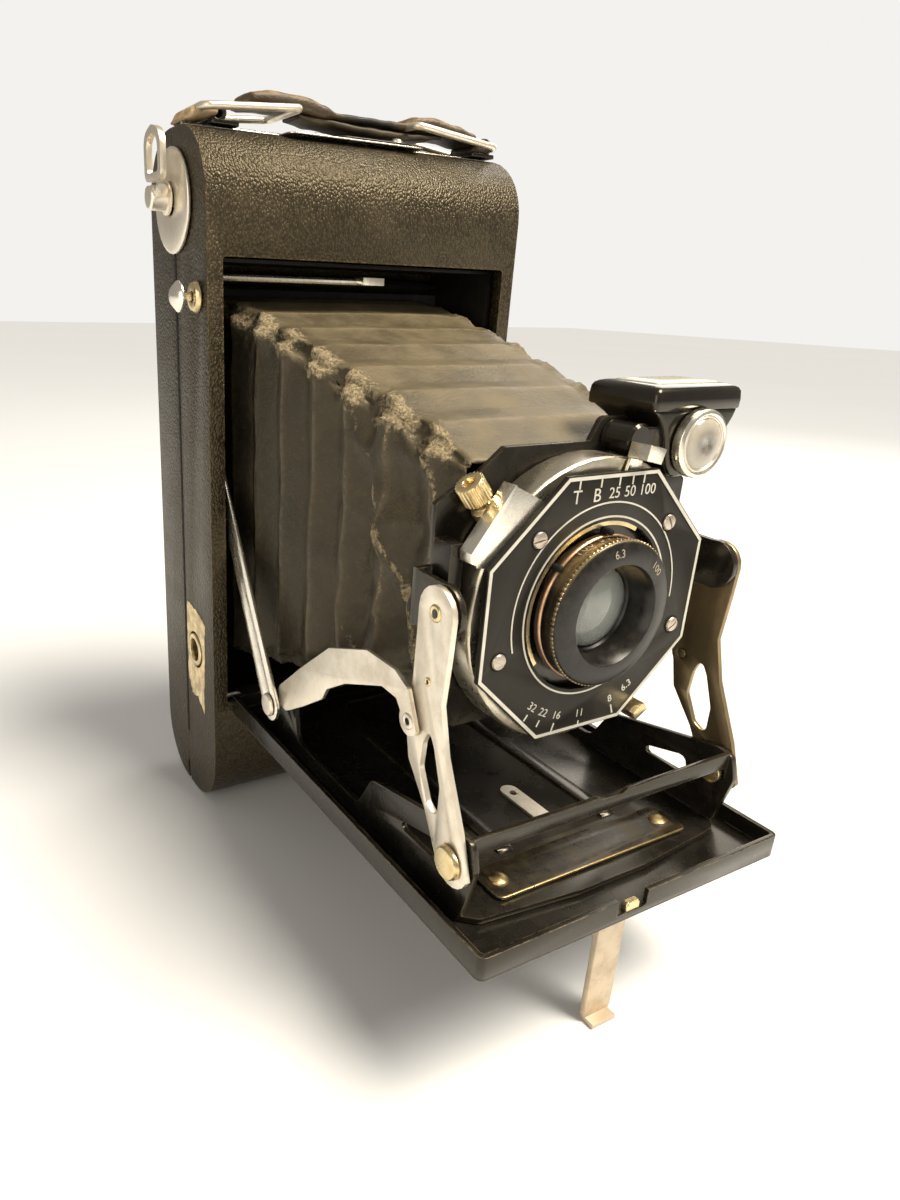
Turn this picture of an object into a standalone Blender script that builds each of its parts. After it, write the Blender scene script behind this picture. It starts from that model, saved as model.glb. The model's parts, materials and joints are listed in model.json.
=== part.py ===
"""Self-erecting folding roll-film camera, standing upright with its bed open.

The origin is in the middle of the body's width and thickness, on its flat
bottom end. +Z is up along the body, the lens looks along -Y, and +X is to the
right of someone who faces the lens; "left" is -X and "right" is +X.

Sizes are millimetres. Depths are counted from the body's front face (depth 0)
and grow towards the back, so whatever stands before the body has a negative
depth; place() turns them into Y.
"""

from math import atan2, cos, degrees, hypot, pi, radians, sin, tan

import bmesh
import bpy
from mathutils import Matrix, Vector

# ---------------------------------------------------------------- dimensions
MM = 0.001

BODY_WIDTH = 80.0
BODY_HEIGHT = 158.0
BODY_DEPTH = 35.0
HALF_WIDTH = BODY_WIDTH / 2
MID_DEPTH = BODY_DEPTH / 2
END_RADIUS = 14.5  # rounding of the body's ends, seen from the side
SHELL = 1.3  # sheet thickness of both shells, leather included
INNER_HALF = HALF_WIDTH - SHELL
PARTING = 19.0  # depth where the front shell ends
GAP = 0.3

# joint centres as (depth, height)
BED_HINGE = (3.0, 31.5)
STRUT_FOOT = (-85.0, 41.5)
STRUT_TOP = (-75.8, 81.0)
LINK_FRONT = (-72.2, 60.9)
LINK_REAR = (-26.5, 44.3)
BRACE_FOOT = (-21.7, 40.6)
BRACE_TOP = (9.1, 89.7)
LEG_HINGE = (-91.5, 26.6)
BACK_HINGE = (16.0, 2.9)
BUSH = (12.1, 41.2)
BUTTON = (5.5, 124.8)
SPOOL_DEPTH = 18.0
SPOOL_LOW = 13.7
SPOOL_HIGH = BODY_HEIGHT - SPOOL_LOW
LENS_HEIGHT = 77.35

# lanes: every layer of the folding gear has its own distances from the middle
FRAME_LANE = (30.5, 31.5)
STRUT_LANE = (32.0, 33.0)
LINK_LANE = (33.3, 34.1)
BRACE_LANE = (34.6, 35.4)
GUIDE_LANE = (35.8, 36.5)

# radii shared by the joints
HINGE_PIN, HINGE_BORE = 0.6, 0.9
PIVOT_PIN, PIVOT_BORE = 1.15, 1.5

# origins, as (across, depth, height), of the pieces that move together
BACK_ORIGIN = (0, *BACK_HINGE)
BED_ORIGIN = (0, *BED_HINGE)
STANDARD_ORIGIN = (0, *STRUT_TOP)

# axes of turned pieces
FORWARD, BACKWARD = (0, -1, 0), (0, 1, 0)
LEFT, RIGHT, UP = (-1, 0, 0), (1, 0, 0), (0, 0, 1)

SIDES = (("left", -1), ("right", 1))

# ------------------------------------------------------------------ clearing
for old in list(bpy.data.objects):
    bpy.data.objects.remove(old, do_unlink=True)

camera = bpy.data.collections.new("folding_camera")
tools = bpy.data.collections.new("cutters")
bpy.context.scene.collection.children.link(camera)
bpy.context.scene.collection.children.link(tools)


# ----------------------------------------------------------------- materials
def paint(name, colour, roughness, metallic=0):
    made = bpy.data.materials.new(name)
    made.use_nodes = True
    shader = made.node_tree.nodes["Principled BSDF"]
    shader.inputs["Base Color"].default_value = (*colour, 1)
    shader.inputs["Roughness"].default_value = roughness
    shader.inputs["Metallic"].default_value = metallic
    made.diffuse_color = (*colour, 1)
    return made


LEATHER = paint("black_leather", colour=(0.035, 0.027, 0.020), roughness=0.5)
ENAMEL = paint("black_enamel", colour=(0.016, 0.014, 0.012), roughness=0.25)
INNER = paint("matt_black", colour=(0.012, 0.011, 0.010), roughness=0.7)
NICKEL = paint("aged_nickel", colour=(0.62, 0.55, 0.42), roughness=0.35, metallic=1)
BRASS = paint("brass", colour=(0.60, 0.46, 0.22), roughness=0.35, metallic=1)
STEEL = paint("steel", colour=(0.55, 0.53, 0.50), roughness=0.3, metallic=1)
GLASS = paint("lens_glass", colour=(0.45, 0.47, 0.46), roughness=0.05)
CLOTH = paint("bellows_cloth", colour=(0.060, 0.046, 0.032), roughness=0.65)
STRAP = paint("strap_leather", colour=(0.15, 0.09, 0.05), roughness=0.6)
RED = paint("red_window", colour=(0.35, 0.02, 0.015), roughness=0.2)


# ----------------------------------------------------------- places, outlines
def place(x, depth, z):
    """A point in metres from millimetres, with the depth counted from the front face."""
    return Vector((x * MM, (depth - MID_DEPTH) * MM, z * MM))


def span(middle, half):
    return middle - half, middle + half


def across(lane, side):
    """A lane's two distances across, in order, on the left (-1) or right (+1)."""
    return sorted((side * lane[0], side * lane[1]))


def in_lane(lane, side, joint):
    """The point of a joint in the middle of a lane."""
    return (side * sum(lane) / 2, *joint)


def arc(centre, radius, start, end, steps):
    """Points on an arc, in degrees, both ends included."""
    angles = [radians(start + (end - start) * i / steps) for i in range(steps + 1)]
    return [(centre[0] + radius * cos(t), centre[1] + radius * sin(t)) for t in angles]


def circle(centre, radius, steps):
    return arc(centre, radius, 0, 360 * (1 - 1 / steps), steps - 1)


def rounded(corners, radius, steps=4):
    """A polygon with every corner rounded; radius is one number or a list, one a corner."""
    radii = radius if isinstance(radius, list) else [radius] * len(corners)
    outline = []
    for i, point in enumerate(corners):
        corner = Vector(point)
        before = Vector(corners[i - 1]) - corner
        after = Vector(corners[(i + 1) % len(corners)]) - corner
        to_before, to_after = before.normalized(), after.normalized()
        half = to_before.angle(to_after) / 2
        if radii[i] <= 0 or half > radians(89):
            outline.append((corner.x, corner.y))
            continue
        # the rounding takes at most half of either side
        reach = min(radii[i] / tan(half), before.length * 0.49, after.length * 0.49)
        fillet = reach * tan(half)
        middle = corner + (to_before + to_after).normalized() * (fillet / sin(half))
        first = corner + to_before * reach - middle
        last = corner + to_after * reach - middle
        start, end = atan2(first.y, first.x), atan2(last.y, last.x)
        while end - start > pi:
            end -= 2 * pi
        while end - start < -pi:
            end += 2 * pi
        for k in range(steps + 1):
            t = start + (end - start) * k / steps
            outline.append((middle.x + fillet * cos(t), middle.y + fillet * sin(t)))
    return outline


def rectangle(xs, ys, radius, steps=4):
    return rounded(
        [(xs[0], ys[0]), (xs[1], ys[0]), (xs[1], ys[1]), (xs[0], ys[1])], radius, steps
    )


def tapered(first, last, first_radius, last_radius):
    """Outline of a strip between two round ends."""
    run, rise = last[0] - first[0], last[1] - first[1]
    angle = degrees(atan2(rise, run))
    lean = degrees(atan2(first_radius - last_radius, hypot(run, rise)))
    return arc(first, first_radius, angle + 90 - lean, angle + 270 + lean, 9) + arc(
        last, last_radius, angle - 90 + lean, angle + 90 - lean, 7
    )


# ------------------------------------------------------------------ builders
def keep(obj, material, origin=None):
    """Moves a piece into the camera, shades it and sets its origin on its axis."""
    tools.objects.unlink(obj)
    camera.objects.link(obj)
    obj.data.materials.append(material)
    obj.data.shade_smooth()
    obj.data.set_sharp_from_angle(angle=radians(32))
    if origin is not None:
        point = place(*origin)
        obj.data.transform(Matrix.Translation(-point))
        obj.matrix_world = Matrix.Translation(point)


def from_bmesh(name, shape):
    bmesh.ops.recalc_face_normals(shape, faces=shape.faces)
    mesh = bpy.data.meshes.new(name)
    shape.to_mesh(mesh)
    shape.free()
    obj = bpy.data.objects.new(name, mesh)
    tools.objects.link(obj)
    return obj


def bake(name, source, matrix, weld):
    """Evaluates a curve or modified mesh, welds it and puts it in its place."""
    obj = bpy.data.objects.new(name, source)
    tools.objects.link(obj)
    if source.id_type == "MESH":
        screw = obj.modifiers.new("turn", "SCREW")
        screw.axis = "Z"
        screw.steps = screw.render_steps = source["sides"]
        screw.use_merge_vertices = True
        screw.merge_threshold = 1e-5
    bpy.context.view_layer.update()
    solid = bpy.data.meshes.new_from_object(
        obj.evaluated_get(bpy.context.evaluated_depsgraph_get())
    )
    bpy.data.objects.remove(obj)
    shape = bmesh.new()
    shape.from_mesh(solid)
    bmesh.ops.remove_doubles(shape, verts=shape.verts, dist=weld)
    bmesh.ops.transform(shape, matrix=matrix, verts=shape.verts)
    return from_bmesh(name, shape)


def aim(direction):
    """The rotation that lays the Z axis along a direction."""
    return Vector(direction).to_track_quat("Z", "Y").to_matrix().to_4x4()


def block(name, xs, depths, zs):
    shape = bmesh.new()
    bmesh.ops.create_cube(shape, size=1)
    low, high = place(xs[0], depths[0], zs[0]), place(xs[1], depths[1], zs[1])
    bmesh.ops.scale(shape, vec=high - low, verts=shape.verts)
    bmesh.ops.translate(shape, vec=(low + high) / 2, verts=shape.verts)
    return from_bmesh(name, shape)


def rod(name, start, end, radius, sides=16, tip=None):
    """A round bar, or a cone when tip is given, between two points."""
    a, b = place(*start), place(*end)
    shape = bmesh.new()
    bmesh.ops.create_cone(
        shape,
        cap_ends=True,
        segments=sides,
        radius1=radius * MM,
        radius2=(radius if tip is None else tip) * MM,
        depth=(b - a).length,
    )
    matrix = Matrix.Translation((a + b) / 2) @ aim(b - a)
    bmesh.ops.transform(shape, matrix=matrix, verts=shape.verts)
    return from_bmesh(name, shape)


def side_rod(name, side, inner, outer, at, radius, sides=16, tip=None):
    """A bar across the camera at a (depth, height), from one distance to another."""
    return rod(name, (side * inner, *at), (side * outer, *at), radius, sides, tip)


def turned(name, base, direction, profile, sides=32, closed=False):
    """A turned piece. The profile is (distance along the axis, radius) from the
    far end down the outer side to the base; a closed one is a ring."""
    mesh = bpy.data.meshes.new(name)
    edges = [(i, i + 1) for i in range(len(profile) - 1)]
    if closed:
        edges.append((len(profile) - 1, 0))
    mesh.from_pydata([(radius * MM, 0, along * MM) for along, radius in profile], edges, [])
    mesh["sides"] = sides
    return bake(name, mesh, Matrix.Translation(place(*base)) @ aim(direction), weld=1e-6)


# for each drawing plane: its rotation and its normal in (across, depth, height)
PLANES = {
    "side": (Matrix(((0, 0, 1), (1, 0, 0), (0, 1, 0))), (1, 0, 0)),
    "front": (Matrix(((1, 0, 0), (0, 0, -1), (0, 1, 0))), (0, 1, 0)),
    "floor": (Matrix(((1, 0, 0), (0, 1, 0), (0, 0, 1))), (0, 0, 1)),
}


def plate(name, outlines, plane, low, high):
    """A flat piece cut from its outlines (the outer one first, then its holes).

    Plane "side" has (depth, height) points and lies between two distances
    across; "front" has (across, height) points and lies between two depths;
    "floor" has (across, depth) points and lies between two heights.
    """
    drawing = bpy.data.curves.new(name, "CURVE")
    drawing.dimensions = "2D"
    drawing.fill_mode = "BOTH"
    drawing.extrude = (high - low) / 2 * MM
    for points in outlines:
        spline = drawing.splines.new("POLY")
        spline.points.add(len(points) - 1)
        for slot, (u, v) in zip(spline.points, points):
            slot.co = (u * MM, v * MM, 0, 1)
        spline.use_cyclic_u = True
    rotation, normal = PLANES[plane]
    middle = place(*(part * (low + high) / 2 for part in normal))
    return bake(name, drawing, Matrix.Translation(middle) @ rotation.to_4x4(), weld=1e-7)


def combine(obj, operation, others):
    """Adds a boolean for each of the others, which stay as hidden helpers."""
    for other in others:
        step = obj.modifiers.new(operation.lower() + "_" + other.name, "BOOLEAN")
        step.operation = operation
        step.object = other
        step.solver = "EXACT"
        other.hide_render = True
        other.display_type = "WIRE"


def cut(obj, *others):
    combine(obj, "DIFFERENCE", others)


def fuse(obj, *others):
    combine(obj, "UNION", others)


# ---------------------------------------------------------------- the shells
OPENING_HALF = 36.5
OPENING_HEIGHTS = (31.0, 132.8)
KEY_BORE = 3.0
HINGE_ARM_MIDDLE, HINGE_ARM_HALF = 35.9, 1.6
HINGE_ARM_ROOM = 0.6  # clearance on each side of an arm
WINDOW = (14.0, 50.0)  # (across, height)

# (depth, height)
HINGE_ARM = [
    (14.4, 1.5), (17.4, 1.5), (20.0, 0.6), (24.0, 0.6),
    (24.0, 2.6), (20.0, 2.6), (17.6, 4.3), (14.4, 4.3),
]
HINGE_ARM_RADII = [1.3, 0.5, 0.5, 0, 0, 0.5, 0.8, 1.3]


def body_profile(inset, cut_depth, front):
    """Side outline of one half of the body, straight at cut_depth, rounded at the other face."""
    radius = END_RADIUS - inset
    low, high = inset, BODY_HEIGHT - inset
    if front:
        middle = inset + radius
        return (
            [(cut_depth, low)]
            + arc((middle, low + radius), radius, 270, 180, 8)
            + arc((middle, high - radius), radius, 180, 90, 8)
            + [(cut_depth, high)]
        )
    middle = BODY_DEPTH - inset - radius
    return (
        [(cut_depth, high)]
        + arc((middle, high - radius), radius, 90, 0, 8)
        + arc((middle, low + radius), radius, 0, -90, 8)
        + [(cut_depth, low)]
    )


def half_body(name, inset, cut_depth, front):
    profile = body_profile(inset, cut_depth, front)
    return plate(name, [profile], "side", *span(0, HALF_WIDTH - inset))


def key_hole(name):
    """Cutter for the winding key's hole, shared by the two shells."""
    at = (SPOOL_DEPTH, SPOOL_HIGH)
    return side_rod(name, -1, HALF_WIDTH - 2.5, HALF_WIDTH + 1, at, KEY_BORE)


front_shell = half_body("front_shell", 0, PARTING, front=True)
opening = rectangle(span(0, OPENING_HALF), OPENING_HEIGHTS, 0.8)
cut(
    front_shell,
    half_body("front_hollow", SHELL, PARTING + 1, front=True),
    plate("front_opening", [opening], "front", -1, SHELL + 0.5),
    key_hole("key_bore"),
    side_rod("bush_bore", -1, HALF_WIDTH - 2, HALF_WIDTH + 1, BUSH, 4.6, 20),
    side_rod("button_bore", -1, HALF_WIDTH - 2, HALF_WIDTH + 1, BUTTON, 1.9),
    block("hinge_relief", span(0, HALF_WIDTH + 1), (18.2, PARTING + 1), (-1, SHELL + 0.1)),
)
arm_room = span(HINGE_ARM_MIDDLE, HINGE_ARM_HALF + HINGE_ARM_ROOM)
for word, side in SIDES:
    relief_xs = across(arm_room, side)
    cut(
        front_shell,
        block("arm_relief_" + word, relief_xs, (13.6, PARTING + 1), (-1, SHELL + 0.5)),
    )
for word, side in SIDES:
    lug = plate(
        "bed_hinge_lug_" + word,
        [rectangle((0.9, 5.0), (29.5, 33.5), 1.2), circle(BED_HINGE, HINGE_BORE, 12)],
        "side",
        *across((36.9, INNER_HALF + 0.3), side),
    )
    # the back swings on two stub axles that stand on the shell's side walls
    stub = side_rod(
        "back_stub_" + word, side, 34.0, INNER_HALF + 0.3, BACK_HINGE, HINGE_PIN, 12
    )
    fuse(front_shell, lug, stub)
keep(front_shell, LEATHER)

back_cover = half_body("back_cover", 0, PARTING + GAP, front=False)
cut(
    back_cover,
    half_body("back_hollow", SHELL, PARTING - 1, front=False),
    key_hole("key_notch"),
    rod(
        "window_bore",
        (WINDOW[0], BODY_DEPTH - 3, WINDOW[1]),
        (WINDOW[0], BODY_DEPTH + 1, WINDOW[1]),
        4.4,
        20,
    ),
)
for word, side in SIDES:
    name = "swing_relief_" + word
    cut(
        back_cover,
        side_rod(name, side, INNER_HALF - 0.2, HALF_WIDTH + 1, BACK_HINGE, 4.6, 24),
    )
for word, side in SIDES:
    arm = plate(
        "hinge_arm_" + word,
        [rounded(HINGE_ARM, HINGE_ARM_RADII, 3), circle(BACK_HINGE, HINGE_BORE, 12)],
        "side",
        *span(side * HINGE_ARM_MIDDLE, HINGE_ARM_HALF),
    )
    fuse(back_cover, arm)
keep(back_cover, LEATHER, BACK_ORIGIN)

red_window = rod(
    "red_window", (WINDOW[0], 33.9, WINDOW[1]), (WINDOW[0], 34.8, WINDOW[1]), 4.1, 20
)
keep(red_window, RED, BACK_ORIGIN)

# -------------------------------------------------------- the film's chamber
FILM_MIDDLE = 82.0
IMAGE_WIDTH, IMAGE_HEIGHT = 57.0, 83.0
CHAMBER_HALF, CHAMBER_WALL = 37.7, 0.8
CHAMBER_INNER_HALF = CHAMBER_HALF - CHAMBER_WALL
CHAMBER_DEPTHS = (5.3, 28.5)
CHAMBER_INNER_HEIGHTS = (31.0, 131.9)
END_WALL = 0.7  # at the chamber's bottom and top
ROLLER_DEPTH, ROLLER_HALF = 27.1, 36.5
SPOOL_LENGTH = 64.0

pressure_plate = plate(
    "pressure_plate", [rectangle((-31.0, 31.0), (38.5, 125.5), 2.0, 3)], "front", 29.4, 30.2
)
keep(pressure_plate, INNER, BACK_ORIGIN)

# bowed leaf behind the pressure plate: ends at depth 30.55, the middle 2.4 further back
bow = [
    (30.55 + 2.4 * cos(pi / 2 * t) ** 2, FILM_MIDDLE + 30 * t)
    for t in [i / 6 for i in range(-6, 7)]
]
leaf = bow + [(depth + 0.5, z) for depth, z in reversed(bow)]
keep(plate("pressure_spring", [leaf], "side", -5.0, 5.0), STEEL, BACK_ORIGIN)

chamber_inner = span(0, CHAMBER_INNER_HALF)
chamber_low, chamber_high = CHAMBER_INNER_HEIGHTS
film_chamber = block(
    "film_chamber",
    span(0, CHAMBER_HALF),
    CHAMBER_DEPTHS,
    (chamber_low - END_WALL, chamber_high + END_WALL),
)
cut(
    film_chamber,
    block(
        "chamber_hollow",
        chamber_inner,
        (CHAMBER_DEPTHS[0] - 0.8, CHAMBER_DEPTHS[1] - CHAMBER_WALL),
        CHAMBER_INNER_HEIGHTS,
    ),
    block("film_gate", span(0, IMAGE_WIDTH / 2), (26, 30), span(FILM_MIDDLE, IMAGE_HEIGHT / 2)),
    block("roller_room_low", chamber_inner, (25.2, 29.5), (chamber_low, 36.6)),
    block("roller_room_high", chamber_inner, (25.2, 29.5), (126.6, chamber_high)),
    block("stem_room", (-39, -36.0), (4, 8.2), (122.6, 127.2)),
)
for word, side in SIDES:
    # the slotted guide that the brace's stud runs in, spaced off the chamber's wall
    guide = plate(
        "brace_guide_" + word,
        [
            rounded([(3.8, 86.0), (12.8, 84.0), (12.8, 120.0), (4.4, 120.0)], 2.0),
            rectangle((5.3, 11.3), (87.6, 117.8), 2.6),
        ],
        "side",
        *across(GUIDE_LANE, side),
    )
    spacer_xs = across((36.3, 37.3), side)
    fuse(
        film_chamber,
        guide,
        block("guide_spacer_" + word, spacer_xs, (11.9, 12.7), (87.0, 118.0)),
    )
keep(film_chamber, INNER)

ROLLER_PROFILE = [
    (73.0, 0), (73.0, 0.7), (68.5, 0.7), (68.5, 1.6),
    (4.5, 1.6), (4.5, 0.7), (0, 0.7), (0, 0),
]
for word, height in (("bottom", 34.3), ("top", 128.7)):
    base = (-ROLLER_HALF, ROLLER_DEPTH, height)
    roller = turned("film_roller_" + word, base, RIGHT, ROLLER_PROFILE, 14)
    keep(roller, STEEL, (0, ROLLER_DEPTH, height))

SPOOL_PROFILE = [
    (SPOOL_LENGTH, 0), (SPOOL_LENGTH, 11.2), (SPOOL_LENGTH - 1, 11.2), (SPOOL_LENGTH - 1, 3.6),
    (1, 3.6), (1, 11.2), (0, 11.2), (0, 0),
]
for word, height in (("takeup_spool", SPOOL_HIGH), ("supply_spool", SPOOL_LOW)):
    base = (-SPOOL_LENGTH / 2, SPOOL_DEPTH, height)
    spool = turned(word, base, RIGHT, SPOOL_PROFILE, 28)
    cut(spool, block(word + "_slot", (-33, -29), span(SPOOL_DEPTH, 2.6), span(height, 0.8)))
    keep(spool, ENAMEL, (0, SPOOL_DEPTH, height))

# -------------------------------------------- fittings on the left side
FITTING_BASE = -(HALF_WIDTH + GAP)
WING_PIVOT = (-44.2, SPOOL_DEPTH, 145.4)

key_plate = turned(
    "key_plate",
    (FITTING_BASE, SPOOL_DEPTH, 143.8),
    LEFT,
    [(0.9, 2.8), (1.2, 3.6), (1.0, 9.6), (0.7, 10.5), (0, 10.5), (0, 2.8)],
    closed=True,
)
keep(key_plate, NICKEL)

key_shaft = turned(
    "key_shaft",
    (-31.5, SPOOL_DEPTH, SPOOL_HIGH),
    LEFT,
    [
        (14.6, 0), (14.6, 2.2), (14.2, 2.6), (11.0, 2.6), (10.8, 3.4),
        (10.3, 3.4), (10.3, 1.7), (0.7, 1.7), (0.7, 0),
    ],
    16,
)
fuse(
    key_shaft,
    block("key_tongue", (-34, -30), span(SPOOL_DEPTH, 1.2), span(SPOOL_HIGH, 0.5)),
)
cut(key_shaft, block("wing_slot", (-47, -43.2), span(SPOOL_DEPTH, 1.2), (146.0, 148)))
for name, towards in (("wing_pin", -1), ("wing_pin_far", 1)):
    x, depth, z = WING_PIVOT
    start, end = (x, depth + towards * 1.1, z), (x, depth + towards * 3.8, z)
    fuse(key_shaft, rod(name, start, end, 1.3, 12))
keep(key_shaft, NICKEL, (-HALF_WIDTH, SPOOL_DEPTH, SPOOL_HIGH))

# (depth, height)
wing_outer = rounded(
    [(12.6, 147.4), (23.4, 147.4), (23.4, 156.5), (18.0, 158.0), (12.6, 156.5)],
    [2.0, 2.0, 3.5, 3.5, 3.5],
)
wing_inner = rounded(
    [(14.4, 149.0), (21.6, 149.0), (21.6, 155.3), (18.0, 156.3), (14.4, 155.3)],
    [1.0, 1.0, 2.5, 2.5, 2.5],
)
keep(plate("key_wing", [wing_outer, wing_inner], "side", -44.9, -43.6), NICKEL, WING_PIVOT)

tripod_bush = turned(
    "tripod_bush",
    (-38.0, *BUSH),
    LEFT,
    [(2.5, 2.9), (2.5, 4.0), (2.3, 4.2), (0, 4.2), (0, 2.9)],
    24,
    closed=True,
)
keep(tripod_bush, BRASS)

button_collar = turned(
    "button_collar",
    (FITTING_BASE, *BUTTON),
    LEFT,
    [(1.2, 1.2), (1.2, 2.7), (0.3, 3.3), (0, 3.3), (0, 1.2)],
    20,
    closed=True,
)
keep(button_collar, NICKEL)

release_button = turned(
    "release_button",
    (-36.3, *BUTTON),
    LEFT,
    [(10.0, 0), (9.6, 1.6), (8.2, 3.2), (7.7, 3.2), (7.7, 0.9), (0, 0.9), (0, 0)],
    20,
)
keep(release_button, NICKEL, (-HALF_WIDTH, *BUTTON))

# bar from the button's side to the hook at the middle of the opening
latch_bar = rod("latch_bar", (-35.4, 6.6, 128.9), (4.0, 6.6, 128.9), 0.75, 10)
fuse(
    latch_bar,
    block("latch_strip", (-35.9, -35.1), (5.2, 7.6), (123.4, 129.7)),
    block("latch_hook", (-1.0, 4.6), (3.1, 7.1), (128.3, 129.9)),
)
keep(latch_bar, NICKEL, (-36, *BUTTON))

# ---------------------------------------------------------- handle and latch
TOP = BODY_HEIGHT
HANDLE_MIDDLE = 4.5
LOOP_HEIGHT = TOP + 2.9  # centre of the wire loops
LOOP_WIRE = 0.8  # half the width of a loop's bars, seen from above

# distances across: bracket's two ends, loop's hinge, loop's free bar
HANDLE_ENDS = (
    ("left", (-34.5, -28.0), -32.0, -11.5),
    ("right", (32.5, 39.5), 38.0, 20.5),
)
for word, bracket_xs, hinge, bar in HANDLE_ENDS:
    bracket = plate(
        "handle_bracket_" + word,
        [rectangle(bracket_xs, span(MID_DEPTH, 7.0), 1.0, 3)],
        "floor",
        TOP + GAP,
        TOP + 1.1,
    )
    clip_centre, clip_depths = (hinge, LOOP_HEIGHT), span(MID_DEPTH, 4.5)
    clip = plate(
        "bracket_clip_" + word,
        [circle(clip_centre, 2.0, 14), circle(clip_centre, 1.15, 12)],
        "front",
        *clip_depths,
    )
    foot = block("clip_foot_" + word, span(hinge, 1.3), clip_depths, (TOP + 0.9, TOP + 1.6))
    fuse(bracket, clip, foot)
    keep(bracket, ENAMEL)

    low, high = sorted((hinge, bar))
    loop = plate(
        "handle_loop_" + word,
        [
            rectangle((low - LOOP_WIRE, high + LOOP_WIRE), span(MID_DEPTH, 8.9), 1.6, 3),
            rectangle((low + LOOP_WIRE, high - LOOP_WIRE), span(MID_DEPTH, 7.3), 0.8, 3),
        ],
        "floor",
        *span(LOOP_HEIGHT, 0.7),
    )
    keep(loop, NICKEL, (hinge, MID_DEPTH, LOOP_HEIGHT))

# each end of the strap is an eye folded over the free bar of its loop;
# (across, height above the body), the underside first
STRAP_OUTLINE = [
    (-14.2, 1.3), (-9.6, 1.3), (-7.6, 2.6), (-3.0, 4.6), (4.5, 5.2), (12.0, 4.6),
    (16.6, 2.6), (18.4, 1.3), (23.0, 1.3), (24.6, 2.9), (23.4, 4.9), (17.8, 5.8),
    (12.0, 6.4), (4.5, 6.9), (-3.0, 6.4), (-8.6, 5.8), (-14.6, 4.9), (-15.8, 2.9),
]
eye_heights = (TOP + 1.95, TOP + 4.25)
handle_strap = plate(
    "handle_strap",
    [
        [(x, TOP + z) for x, z in STRAP_OUTLINE],
        rectangle((-14.3, -8.9), eye_heights, 0.9, 3),
        rectangle((17.9, 23.1), eye_heights, 0.9, 3),
    ],
    "front",
    *span(MID_DEPTH, 5.9),
)
keep(handle_strap, STRAP, (HANDLE_MIDDLE, MID_DEPTH, TOP + 3))

latch_outline = rectangle(span(HANDLE_MIDDLE, 10), (9.0, 27.5), 2.5)
back_latch = plate("back_latch", [latch_outline], "floor", TOP + GAP, TOP + 0.9)
keep(back_latch, ENAMEL, (HANDLE_MIDDLE, MID_DEPTH, TOP))

# --------------------------------------------------------------------- the bed
BED_HALF = 35.5
BED_SKIN, BED_FLOOR, BED_RIM = 28.5, 29.7, 33.0  # heights: underside, floor, rim
BED_FRONT, BED_REAR = -97.5, -0.3
BED_WALL, BED_REAR_WALL = 0.95, 1.3
FRAME_FLOOR = BED_FLOOR + GAP
FRAME_TOP = FRAME_FLOOR + 1.0

bed_outline = rectangle(span(0, BED_HALF), (BED_FRONT, BED_REAR), [1.3, 1.3, 0.4, 0.4], 3)
bed_pan = plate("bed_pan", [bed_outline], "floor", BED_SKIN, BED_RIM)
hollow_outline = rectangle(
    span(0, BED_HALF - BED_WALL),
    (BED_FRONT + BED_WALL, BED_REAR - BED_REAR_WALL),
    [0.6, 0.6, 0.4, 0.4],
    3,
)
notch_depths = (BED_FRONT - 1, BED_FRONT + 3)
knuckle_outline = (
    arc(BED_HINGE, 1.5, 90, -90, 8)
    + arc(BED_HINGE, 1.5, 270, 190, 5)
    + [(1.2, 31.45), (-0.9, 31.45), (-0.9, 33.0)]
)
cut(
    bed_pan,
    plate("bed_hollow", [hollow_outline], "floor", BED_FLOOR, BED_RIM + 1),
    block("catch_notch", (-6.5, 0.5), notch_depths, (BED_FLOOR + 0.2, BED_RIM + 1)),
)
knuckle_bore = circle(BED_HINGE, HINGE_BORE, 12)
fuse(bed_pan, plate("bed_knuckle", [knuckle_outline, knuckle_bore], "side", -33.0, 33.0))
# two ears under the bed's front carry the support leg
ear_outline = rounded(
    [(-88.5, 29.0), (-94.5, 29.0), (-93.3, 25.4), (-89.7, 25.4)], [0, 0, 1.2, 1.2], 3
)
for i, x in enumerate((-6.0, 5.0)):
    fuse(bed_pan, plate(f"leg_ear_{i}", [ear_outline], "side", x, x + 1.0))
fuse(bed_pan, side_rod("leg_pin", 1, -5.6, 5.6, LEG_HINGE, 0.55, 12))
keep(bed_pan, LEATHER, BED_ORIGIN)

keep(side_rod("bed_hinge_pin", 1, -38.2, 38.2, BED_HINGE, HINGE_PIN, 12), STEEL)

support_leg = plate(
    "support_leg",
    [rectangle((-3.3, 3.3), (0.0, LEG_HINGE[1]), [1.6, 1.6, 0, 0], 3)],
    "front",
    *span(LEG_HINGE[0], 0.6),
)
foot_depths = (LEG_HINGE[0] - 2.6, LEG_HINGE[0] + 0.3)
fuse(
    support_leg,
    side_rod("leg_curl", 1, -4.2, 4.2, LEG_HINGE, 1.45, 14),
    block("leg_foot", (-2.9, 2.9), foot_depths, (0.0, 0.9)),
)
cut(support_leg, side_rod("leg_bore", 1, -5, 5, LEG_HINGE, 0.85, 12))
keep(support_leg, NICKEL, (0, *LEG_HINGE))

# --------------- the stamped frame inside the bed: floor, side walls, front bar
# (across, depth)
FRAME_OUTLINE = [
    (-31.5, -8.0), (-31.5, -86.0), (-28.5, -88.6), (-8.0, -90.6),
    (8.0, -90.6), (28.5, -88.6), (31.5, -86.0), (31.5, -8.0),
]
FRAME_HOLE = [(-11.0, -12.0), (-11.0, -24.0), (11.0, -24.0), (11.0, -12.0)]
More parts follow.
